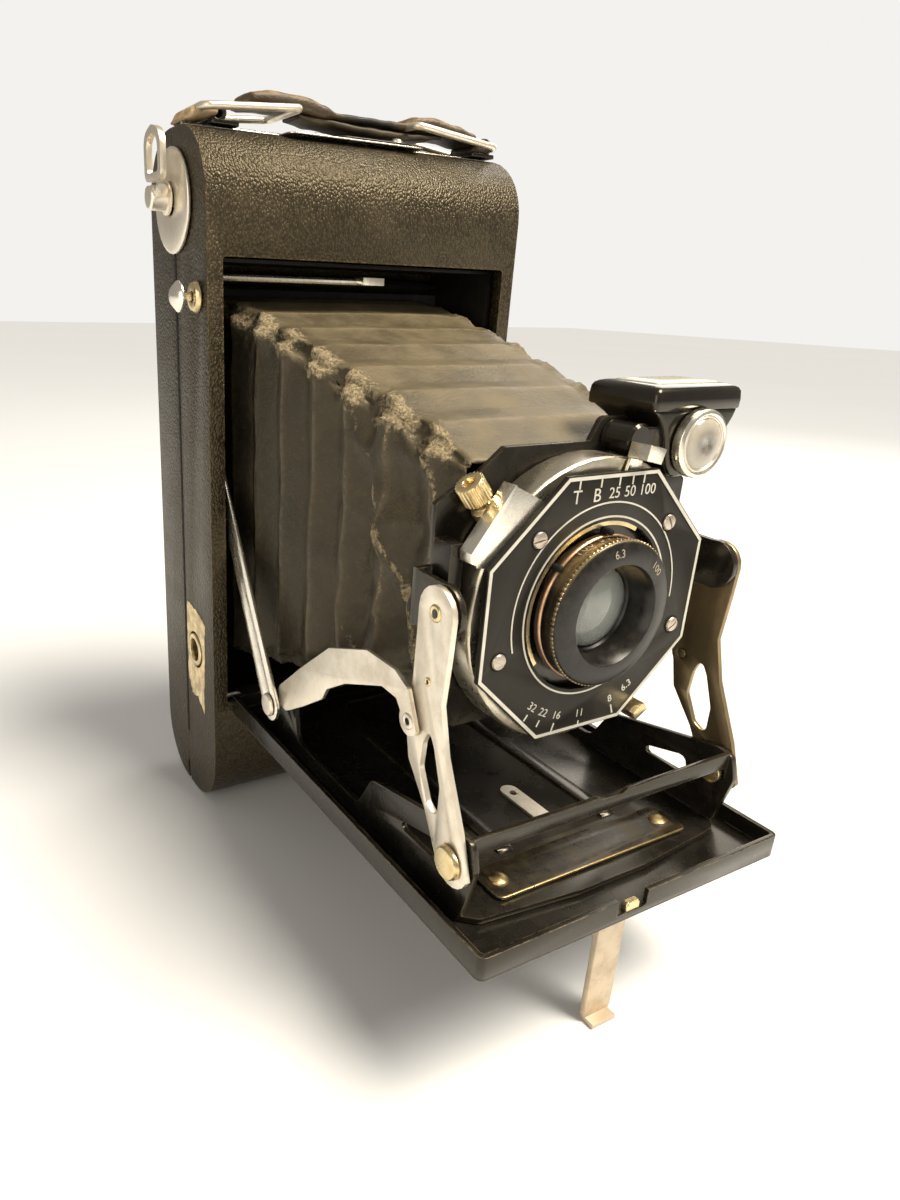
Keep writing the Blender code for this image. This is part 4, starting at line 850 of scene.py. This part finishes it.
def screw_head(name, x, z, radius, height, turn, material, body):
    """A cheese head with a slot, standing on the faceplate."""
    centre = P(x, FACE, LENS_Z + z)
    bm = ring_mesh(centre, (0, -1, 0), [(-0.1, 0.01), (-0.1, radius), (height * 0.35, radius), (height * 0.35, 0.01)], 28)
    for sign in (-1, 1):
        half = ring_mesh(centre, (0, -1, 0), [(height * 0.3, 0.01), (height * 0.3, radius), (height * 0.75, radius * 0.9), (height, radius * 0.45), (height * 1.06, 0.01)], 28)
        across = Vector((math.cos(math.radians(turn)), 0, math.sin(math.radians(turn))))
        cut = bmesh.ops.bisect_plane(
            half,
            geom=[*half.verts, *half.edges, *half.faces],
            plane_co=centre + across * sign * 0.00016,
            plane_no=across * -sign,
            clear_outer=True,
        )
        bmesh.ops.holes_fill(half, edges=[e for e in cut["geom_cut"] if isinstance(e, bmesh.types.BMEdge)])
        part = bpy.data.meshes.new("half")
        half.to_mesh(part)
        half.free()
        bm.from_mesh(part)
    return piece(name, bm, material, body, smooth=False)


for i, (x, z, turn) in enumerate(((-14.7, 13.6, 100), (14.7, 13.6, 30), (-20.4, -6.4, 60), (20.4, -6.4, 125))):
    screw = screw_head(f"plate_screw_{i + 1}", x, z, 1.4, 0.55, turn, SCREW, "standard")
    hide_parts(f"faceplate_screw_{i + 1}")
    # a thin dark ring round each screw head, painted as the shade where the head meets the plate
    piece(f"plate_screw_rim_{i + 1}", ring_mesh(P(x, FACE, LENS_Z + z), (0, -1, 0), [(0.0, 1.38), (0.0, 1.75), (0.08, 1.7), (0.08, 1.38)], 28), DARK, "standard")

# focusing ring: knurl, distance numbers round the barrel, numbers on its face
RING = -75.0
toothed("focus_knurl", P(0, RING, LENS_Z), (0, -1, 0), 12.88, 13.10, 5.10, 5.72, 96, KNURL, "focusing")


def barrel_text(name, string, size, angle, depth, radius):
    """A number bent round the barrel, its top towards the faceplate."""
    mesh = text_mesh(string, size)
    for vert in mesh.vertices:
        x, y, z = (v * 1000 for v in vert.co)
        r = radius + 0.03 + z
        a = math.radians(angle) - x / radius
        vert.co = P(r * math.cos(a), depth + y, LENS_Z + r * math.sin(a))
    return piece(name, mesh, FAINT, "focusing", smooth=False)


for i, (label, angle) in enumerate((("100", 116), ("50", 96), ("25", 79), ("15", 62), ("10", 45), ("8", 30), ("6", 16), ("5", 2))):
    barrel_text(f"distance_{i}", label, 2.5, angle, RING - 2.6, 12.42)


def rim_text(name, string, size, angle, radius):
    """A number on the ring's coned front face."""
    mesh = text_mesh(string, size)
    for vert in mesh.vertices:
        x, y, z = (v * 1000 for v in vert.co)
        r = radius + y
        a = math.radians(angle) - x / radius
        along = 6.8 - 0.6 * (r - 9.0) / 3.4 + 0.05 + z
        vert.co = P(r * math.cos(a), RING - along, LENS_Z + r * math.sin(a))
    return piece(name, mesh, FAINT, "focusing", smooth=False)


rim_text("ring_number_0", "6.3", 1.9, 96, 10.9)
rim_text("ring_number_1", "100", 1.9, 42, 10.9)
for i, angle in enumerate((141, 92)):
    a = math.radians(angle)
    peg = ring_mesh(P(13.75 * math.cos(a), FACE + 0.6, LENS_Z + 13.75 * math.sin(a)), (0, -1, 0), [(0, 0.01), (0, 0.6), (2.0, 0.6), (2.3, 0.35), (2.3, 0.01)], 14)
    piece(f"stop_peg_{i}", peg, DARK, "standard")
piece("barrel_seat", ring_mesh(P(0, FACE, LENS_Z), (0, -1, 0), [(-0.6, 12.75), (-0.6, 13.05), (0.7, 13.05), (0.7, 12.75)], 72), COPPER, "standard")

# cable socket: a knurled nut
toothed("socket_knurl", P(-20.2, -70.65, LENS_Z + 16.6), (-4, 0, 5), 2.22, 2.45, 3.7, 7.3, 22, BRASS, "standard")

# eyelets of the folding gear
for word, sign in (("left", -1), ("right", 1)):
    for tag, depth, z, r, out, body in (
        ("top", -75.8, 81.0, 1.5, 33.0, f"strut_{word}"),
        ("middle", -75.3, 69.2, 0.8, 33.0, f"strut_{word}"),
        ("link", -72.2, 60.9, 1.5, 34.16, f"link_{word}"),
    ):
        shape = ring_mesh(P(sign * out, depth, z), (sign, 0, 0), [(-0.15, r * 0.4), (-0.15, r), (0.14, r * 0.92), (0.24, r * 0.68), (0.14, r * 0.45)], 24)
        piece(f"eyelet_{tag}_{word}", shape, BRASS if tag != "link" else NICKEL, body)
        # the middle and link eyelets get a dark disc, painted as the shade in their holes
        if tag != "top":
            dot = ring_mesh(P(sign * out, depth, z), (sign, 0, 0), [(-0.1, 0.01), (-0.1, r * 0.42), (0.07, r * 0.42), (0.07, 0.01)], 14)
            piece(f"eyelet_hole_{tag}_{word}", dot, DARK, body)

# ------------------------------------------------------------------ finder
def section_loft(sections, corner, steps=4):
    """A closed body through level rectangles (z, x0, x1, d0, d1) with rounded corners."""
    bm = bmesh.new()
    rings = []
    for z, x0, x1, d0, d1 in sections:
        ring = []
        for cx, cd, start in ((x1 - corner, d0 + corner, -90), (x1 - corner, d1 - corner, 0), (x0 + corner, d1 - corner, 90), (x0 + corner, d0 + corner, 180)):
            for k in range(steps + 1):
                a = math.radians(start + 90 * k / steps)
                ring.append(bm.verts.new(P(cx + corner * math.cos(a), cd + corner * math.sin(a), z)))
        rings.append(ring)
    size = len(rings[0])
    for one, two in zip(rings, rings[1:]):
        for k in range(size):
            bm.faces.new((one[k], one[(k + 1) % size], two[(k + 1) % size], two[k]))
    bm.faces.new(rings[0])
    bm.faces.new(rings[-1])
    return bm


flare = piece(
    "finder_flare",
    section_loft(
        [
            (98.4, 15.4, 23.8, -75.0, -66.6), (98.9, 14.6, 24.6, -75.3, -66.0), (100.5, 13.6, 25.2, -75.4, -65.4), (103.0, 13.0, 26.0, -75.4, -64.8),
            (105.0, 12.5, 27.0, -75.4, -64.2), (106.8, 11.7, 28.2, -75.4, -63.2), (108.2, 10.7, 29.1, -75.4, -62.0), (109.2, 9.7, 29.7, -75.3, -60.9), (109.7, 9.3, 29.9, -75.2, -60.6),
        ],
        0.9,
    ),
    GLOSSY,
    "finder",
)
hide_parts("finder_body")
cap_rings = [(109.55, 0.3), (109.8, 0.05), (111.2, 0.0), (112.6, 0.15), (113.15, 0.45), (113.5, 1.0), (113.72, 1.8), (113.8, 2.6)]
cap = piece(
    "finder_hood",
    section_loft([(z, 8.6 + i, 30.25 - i, -75.5 + i, -60.0 - i) for z, i in cap_rings], 0.9, 5),
    GLOSSY,
    "finder",
)
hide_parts("finder_cap")
screen = piece(
    "finder_screen",
    section_loft([(z, 8.6 + i, 30.25 - i, -75.5 + i, -60.0 - i) for z, i in ((113.6, 3.0), (113.95, 3.05), (114.05, 3.4), (114.2, 4.6), (114.28, 6.0))], 0.7, 5),
    WINDOW_GLASS,
    "finder",
)
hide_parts("finder_window")
neck = bmesh.new()
for one in (
    ring_mesh(P(7.4, -68.6, 105.0), (0, -1, 0), [(0, 0.01), (0, 2.8), (5.6, 2.8), (6.0, 2.3), (6.0, 0.01)], 24),
    section_loft([(102.9, 7.4, 13.6, -74.3, -68.9), (103.3, 7.4, 13.6, -74.4, -68.8), (106.7, 7.4, 13.2, -74.4, -68.8), (107.1, 7.4, 13.2, -74.3, -68.9)], 0.4, 2),
):
    part = bpy.data.meshes.new("part")
    one.to_mesh(part)
    one.free()
    neck.from_mesh(part)
piece("finder_neck", neck, GLOSSY, "finder", smooth=False)
piece("finder_glass", ring_mesh(P(19.6, -75.7, 104.2), (0, -1, 0), [(1.3, 0.01), (1.3, 4.5), (1.65, 4.45), (2.0, 3.6), (2.3, 2.2), (2.45, 0.01)], 40), FINDER_GLASS, "finder")
piece("finder_glass_ring", ring_mesh(P(19.6, -75.7, 104.2), (0, -1, 0), [(1.3, 4.35), (1.3, 4.8), (1.85, 4.75), (1.85, 4.45)], 40), NICKEL, "finder")

# ------------------------------------------------------------------ fittings inside the bed
def tab_mesh():
    outline = [(2.6, -74.5), (2.6, -61.5), *[(0.7 + 1.9 * math.cos(math.radians(a)), -61.5 + 1.9 * math.sin(math.radians(a))) for a in range(15, 180, 15)], (-1.2, -61.5), (-1.2, -74.5)]
    hole = [(0.7 + 0.8 * math.cos(math.radians(a)), -62.6 + 0.8 * math.sin(math.radians(a))) for a in range(0, 360, 24)]
    mesh = flat_shape(outline, [hole], 0.0, 0.5)
    mesh.transform(Matrix.Translation(-P(0, 0.25, LENS_Z)))
    mesh.transform(Matrix.Rotation(math.radians(-90), 4, "X"))
    mesh.transform(Matrix.Translation(Vector((0, -HALF_DEPTH / 1000, 0.0313))))
    return mesh


add_bevel(piece("bed_tab", tab_mesh(), NICKEL, "bed", smooth=False), 0.08)
catch = section_loft([(29.75, -4.2, -1.0, -97.35, -96.0), (31.0, -4.2, -1.0, -97.35, -96.0), (31.5, -3.9, -1.3, -97.2, -96.2)], 0.25, 2)
add_bevel(piece("bed_catch", catch, BRASS, "bed", smooth=False), 0.1)

# ------------------------------------------------------------------ handle
TOP = 158.0


def loop_wire(word, low, high, z_low, z_high, body):
    points = []
    r = 1.6
    for cx, cy, start in ((high - r, 26.0 - r, 0), (low + r, 26.0 - r, 90), (low + r, 9.0 + r, 180), (high - r, 9.0 + r, 270)):
        for k in range(6):
            a = math.radians(start + 90 * k / 5)
            x = cx + r * math.cos(a)
            points.append((x, cy + r * math.sin(a), TOP + z_low + (z_high - z_low) * (x - low) / (high - low)))
    obj = wire(f"handle_wire_{word}", points, 0.82, NICKEL, body, closed=True, sides=14)
    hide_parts(f"handle_loop_{word}")


loop_wire("left", -36.4, -14.6, 3.1, 4.9, "loop_left")
loop_wire("right", 15.2, 38.2, 4.9, 2.4, "loop_right")


def leather_loft(name, stations, material, body, around=32, noise_mm=0.2, middle=17.5):
    """A flat strap lofted through (x, centre height, half thickness, half width)."""
    bm = bmesh.new()
    rings = []
    for x, z, half_t, half_w in stations:
        ring = []
        for k in range(around):
            a = 2 * math.pi * k / around
            c, s = math.cos(a), math.sin(a)
            px = math.copysign(abs(c) ** 0.42, c) * half_w
            pz = math.copysign(abs(s) ** 0.75, s) * half_t
            p = P(x, middle + px, z + pz)
            p += noise.noise_vector(p * 1000 * 0.35) * noise_mm / 1000
            ring.append(bm.verts.new(p))
        rings.append(ring)
    for one, two in zip(rings, rings[1:]):
        for k in range(around):
            bm.faces.new((one[k], one[(k + 1) % around], two[(k + 1) % around], two[k]))
    bm.faces.new(rings[0])
    bm.faces.new(rings[-1])
    return piece(name, bm, material, body)


def through(keys, steps):
    """Stations eased through key rows of numbers."""
    rows = []
    for one, two in zip(keys, keys[1:]):
        for i in range(steps):
            s = i / steps
            s = s * s * (3 - 2 * s)
            x = one[0] + (two[0] - one[0]) * i / steps
            rows.append((x, *[a + (b - a) * s for a, b in zip(one[1:], two[1:])]))
    rows.append(keys[-1])
    return rows


strap = leather_loft(
    "strap_leather",
    through(
        [
            (-25.4, TOP + 5.4, 0.5, 4.6), (-24.2, TOP + 6.2, 1.5, 5.6), (-20.0, TOP + 6.7, 1.7, 6.0), (-12.0, TOP + 6.5, 1.7, 6.0), (-7.0, TOP + 5.7, 1.4, 5.6),
            (-4.0, TOP + 5.2, 0.85, 4.9), (5.0, TOP + 5.2, 0.75, 4.8), (14.2, TOP + 5.1, 0.85, 4.9), (17.6, TOP + 5.9, 1.5, 5.6), (22.0, TOP + 6.0, 1.7, 6.0),
            (29.0, TOP + 5.3, 1.6, 6.0), (34.0, TOP + 4.3, 1.4, 5.6), (35.6, TOP + 3.7, 0.5, 4.6),
        ],
        7,
    ),
    STRAP,
    "strap",
)
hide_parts("handle_strap")
leather_loft(
    "strap_lining",
    through([(-13.0, TOP + 4.3, 0.5, 4.2), (-8.0, TOP + 3.9, 0.8, 4.6), (4.0, TOP + 3.1, 0.95, 4.8), (13.0, TOP + 3.0, 0.95, 4.8), (20.0, TOP + 3.4, 0.8, 4.6), (25.0, TOP + 3.9, 0.5, 4.2)], 7),
    STRAP_DARK,
    "strap",
)
# end tabs folded round the loops' outer bars
leather_loft("handle_tab_left", through([(-39.2, TOP + 1.1, 0.4, 4.4), (-38.0, TOP + 1.9, 1.3, 5.6), (-35.0, TOP + 3.0, 1.7, 6.0), (-32.6, TOP + 3.2, 1.2, 5.4), (-32.0, TOP + 3.0, 0.5, 4.6)], 6), TAN, "body")
leather_loft("handle_tab_right", through([(34.2, TOP + 2.0, 0.6, 4.6), (35.2, TOP + 2.3, 1.5, 5.6), (37.6, TOP + 2.2, 1.6, 5.8), (39.4, TOP + 1.5, 0.5, 4.6)], 6), STRAP_DARK, "body")


def plate_screw(name, x, depth, z, radius, material, body):
    """A domed screw standing upright."""
    shape = ring_mesh(P(x, depth, z), (0, 0, 1), [(0, 0.01), (0, radius), (0.5, radius * 0.9), (0.9, radius * 0.5), (1.0, 0.01)], 28)
    return piece(name, shape, material, body)


add_bevel(piece("top_plate", section_loft([(TOP + 0.02, -17.5, 17.5, 8.2, 26.6), (TOP + 0.32, -17.5, 17.5, 8.2, 26.6)], 2.0, 5), BRIGHT, "body", smooth=False), 0.1)
plate_screw("top_screw", 10.6, 10.4, TOP + 0.9, 1.5, BRIGHT, "back_latch")
plate_screw("top_screw_small", -9.2, 12.0, TOP + 0.3, 1.1, NICKEL, "body")

# ------------------------------------------------------------------ trim, wear and painted seam shade on the body
trim = wire("top_trim", [(-39.4, 14.9, TOP + 0.25), (39.4, 14.9, TOP + 0.25)], 0.42, BRIGHT, "body", sides=8)


def worn_patch():
    corners = [(17.6, 52.4), (10.3, 51.9), (5.5, 50.2), (5.8, 40.0), (7.0, 25.8), (10.9, 28.6), (15.2, 28.0), (17.6, 33.0)]
    outline = []
    for (d0, z0), (d1, z1) in zip(corners, corners[1:] + corners[:1]):
        for k in range(9):
            s = k / 9
            d, z = d0 + (d1 - d0) * s, z0 + (z1 - z0) * s
            j = noise.noise(Vector((d * 1.1, z * 1.1, 3.0))) * 0.9 + noise.noise(Vector((d * 3.1, z * 3.1, 8.0))) * 0.7
            outline.append((d + (11.6 - d) * 0.06 * j * 2, z + j * 0.8))
    hole = [(12.1 + 4.75 * math.cos(math.radians(10 * k)), 41.2 + 4.75 * math.sin(math.radians(10 * k))) for k in range(36)]
    mesh = flat_shape(outline, [hole], 0.0, 0.14)
    # flat_shape stands it in the x-z plane about the lens, so turn it to the side wall
    mesh.transform(Matrix.Translation(-P(0, 0.07, LENS_Z)))
    mesh.transform(Matrix.Rotation(math.radians(90), 4, "Z"))
    mesh.transform(Matrix.Translation(Vector((-0.04006, -HALF_DEPTH / 1000, 0))))
    return mesh


piece("worn_patch", worn_patch(), CREAM, "body", smooth=False)


def side_seam():
    """A dark strip down the left wall where the back cover meets the front shell, painted as the shade in the seam's
    gap.
    """
    outline = [(18.65, 14.8), (19.65, 14.8), (19.65, 143.2), (18.65, 143.2)]
    mesh = flat_shape(outline, [], 0.0, 0.10)
    mesh.transform(Matrix.Translation(-P(0, 0.05, LENS_Z)))
    mesh.transform(Matrix.Rotation(math.radians(90), 4, "Z"))
    mesh.transform(Matrix.Translation(Vector((-0.04003, -HALF_DEPTH / 1000, 0))))
    return mesh


# the seam's gap painted as a dark strip of shade
piece("side_seam", side_seam(), DARK, "body", smooth=False)

# ------------------------------------------------------------------ camera, light and stage
camera_data = bpy.data.cameras.new("camera")
camera = bpy.data.objects.new("camera", camera_data)
SCENE.collection.objects.link(camera)
right = Vector((0.879224, -0.475461, 0.030033)).normalized()
up = Vector((0.141923, 0.321581, 0.936186)).normalized()
back = -Vector((0.454778, 0.818854, -0.350221)).normalized()
camera.matrix_world = Matrix(
    (
        (right.x, up.x, back.x, -0.106107),
        (right.y, up.y, back.y, -0.189055),
        (right.z, up.z, back.z, 0.126510),
        (0, 0, 0, 1),
    )
)
camera_data.sensor_width = 36
camera_data.sensor_fit = "AUTO"
camera_data.lens = 25.012
camera_data.shift_x = 0.10674
camera_data.shift_y = 0.00344
camera_data.clip_start = 0.005
camera_data.clip_end = 20
SCENE.camera = camera


def area(name, place, target, size, power, colour):
    data = bpy.data.lights.new(name, "AREA")
    data.shape = "RECTANGLE"
    data.size, data.size_y = size
    data.energy = power
    data.color = colour
    light = bpy.data.objects.new(name, data)
    light.location = place
    light.rotation_euler = (Vector(target) - Vector(place)).to_track_quat("-Z", "Y").to_euler()
    SCENE.collection.objects.link(light)


sun_data = bpy.data.lights.new("sun_light", "SUN")
sun_data.energy = 2.7
sun_data.angle = math.radians(28)
sun_data.color = (1.0, 0.955, 0.86)
sun = bpy.data.objects.new("sun_light", sun_data)
sun.rotation_euler = Vector((-0.32, 0.42, -0.85)).to_track_quat("-Z", "Y").to_euler()
SCENE.collection.objects.link(sun)
area("key_light", (0.22, -0.28, 0.62), (0, -0.02, 0.10), (0.34, 0.26), 4.2, (1.0, 0.88, 0.66))
area("fill_light", (-0.65, -0.45, 0.30), (0, -0.03, 0.07), (0.5, 0.5), 1.7, (1.0, 0.92, 0.78))
area("rim_light", (0.60, 0.30, 0.45), (0, -0.02, 0.10), (0.3, 0.4), 1.2, (1.0, 0.94, 0.84))

world = bpy.data.worlds.new("studio")
SCENE.world = world
world.use_nodes = True
tree = world.node_tree
background = tree.nodes["Background"]
background.inputs[0].default_value = (1.0, 0.94, 0.84, 1)
background.inputs[1].default_value = 0.30
seen = tree.nodes.new("ShaderNodeBackground")
seen.inputs[0].default_value = (1.0, 0.985, 0.96, 1)
seen.inputs[1].default_value = 0.90
path = tree.nodes.new("ShaderNodeLightPath")
choose = tree.nodes.new("ShaderNodeMixShader")
tree.links.new(path.outputs["Is Camera Ray"], choose.inputs[0])
tree.links.new(background.outputs[0], choose.inputs[1])
tree.links.new(seen.outputs[0], choose.inputs[2])
tree.links.new(choose.outputs[0], tree.nodes["World Output"].inputs[0])
SCENE.view_settings.view_transform = "Standard"

floor_mesh = bpy.data.meshes.new("floor")
bm = bmesh.new()
bmesh.ops.create_grid(bm, x_segments=2, y_segments=2, size=3.0)
bm.to_mesh(floor_mesh)
bm.free()
floor = bpy.data.objects.new("floor", floor_mesh)
floor.location = (0, 0, -0.0002)
SCENE.collection.objects.link(floor)
n = Nodes("floor_pale")
floor_mesh.materials.append(n.set(Base_Color=n.mix(n.noise(0.004, 3, 0.5), (0.79, 0.80, 0.825), (0.83, 0.84, 0.865)), Roughness=0.7))

import json
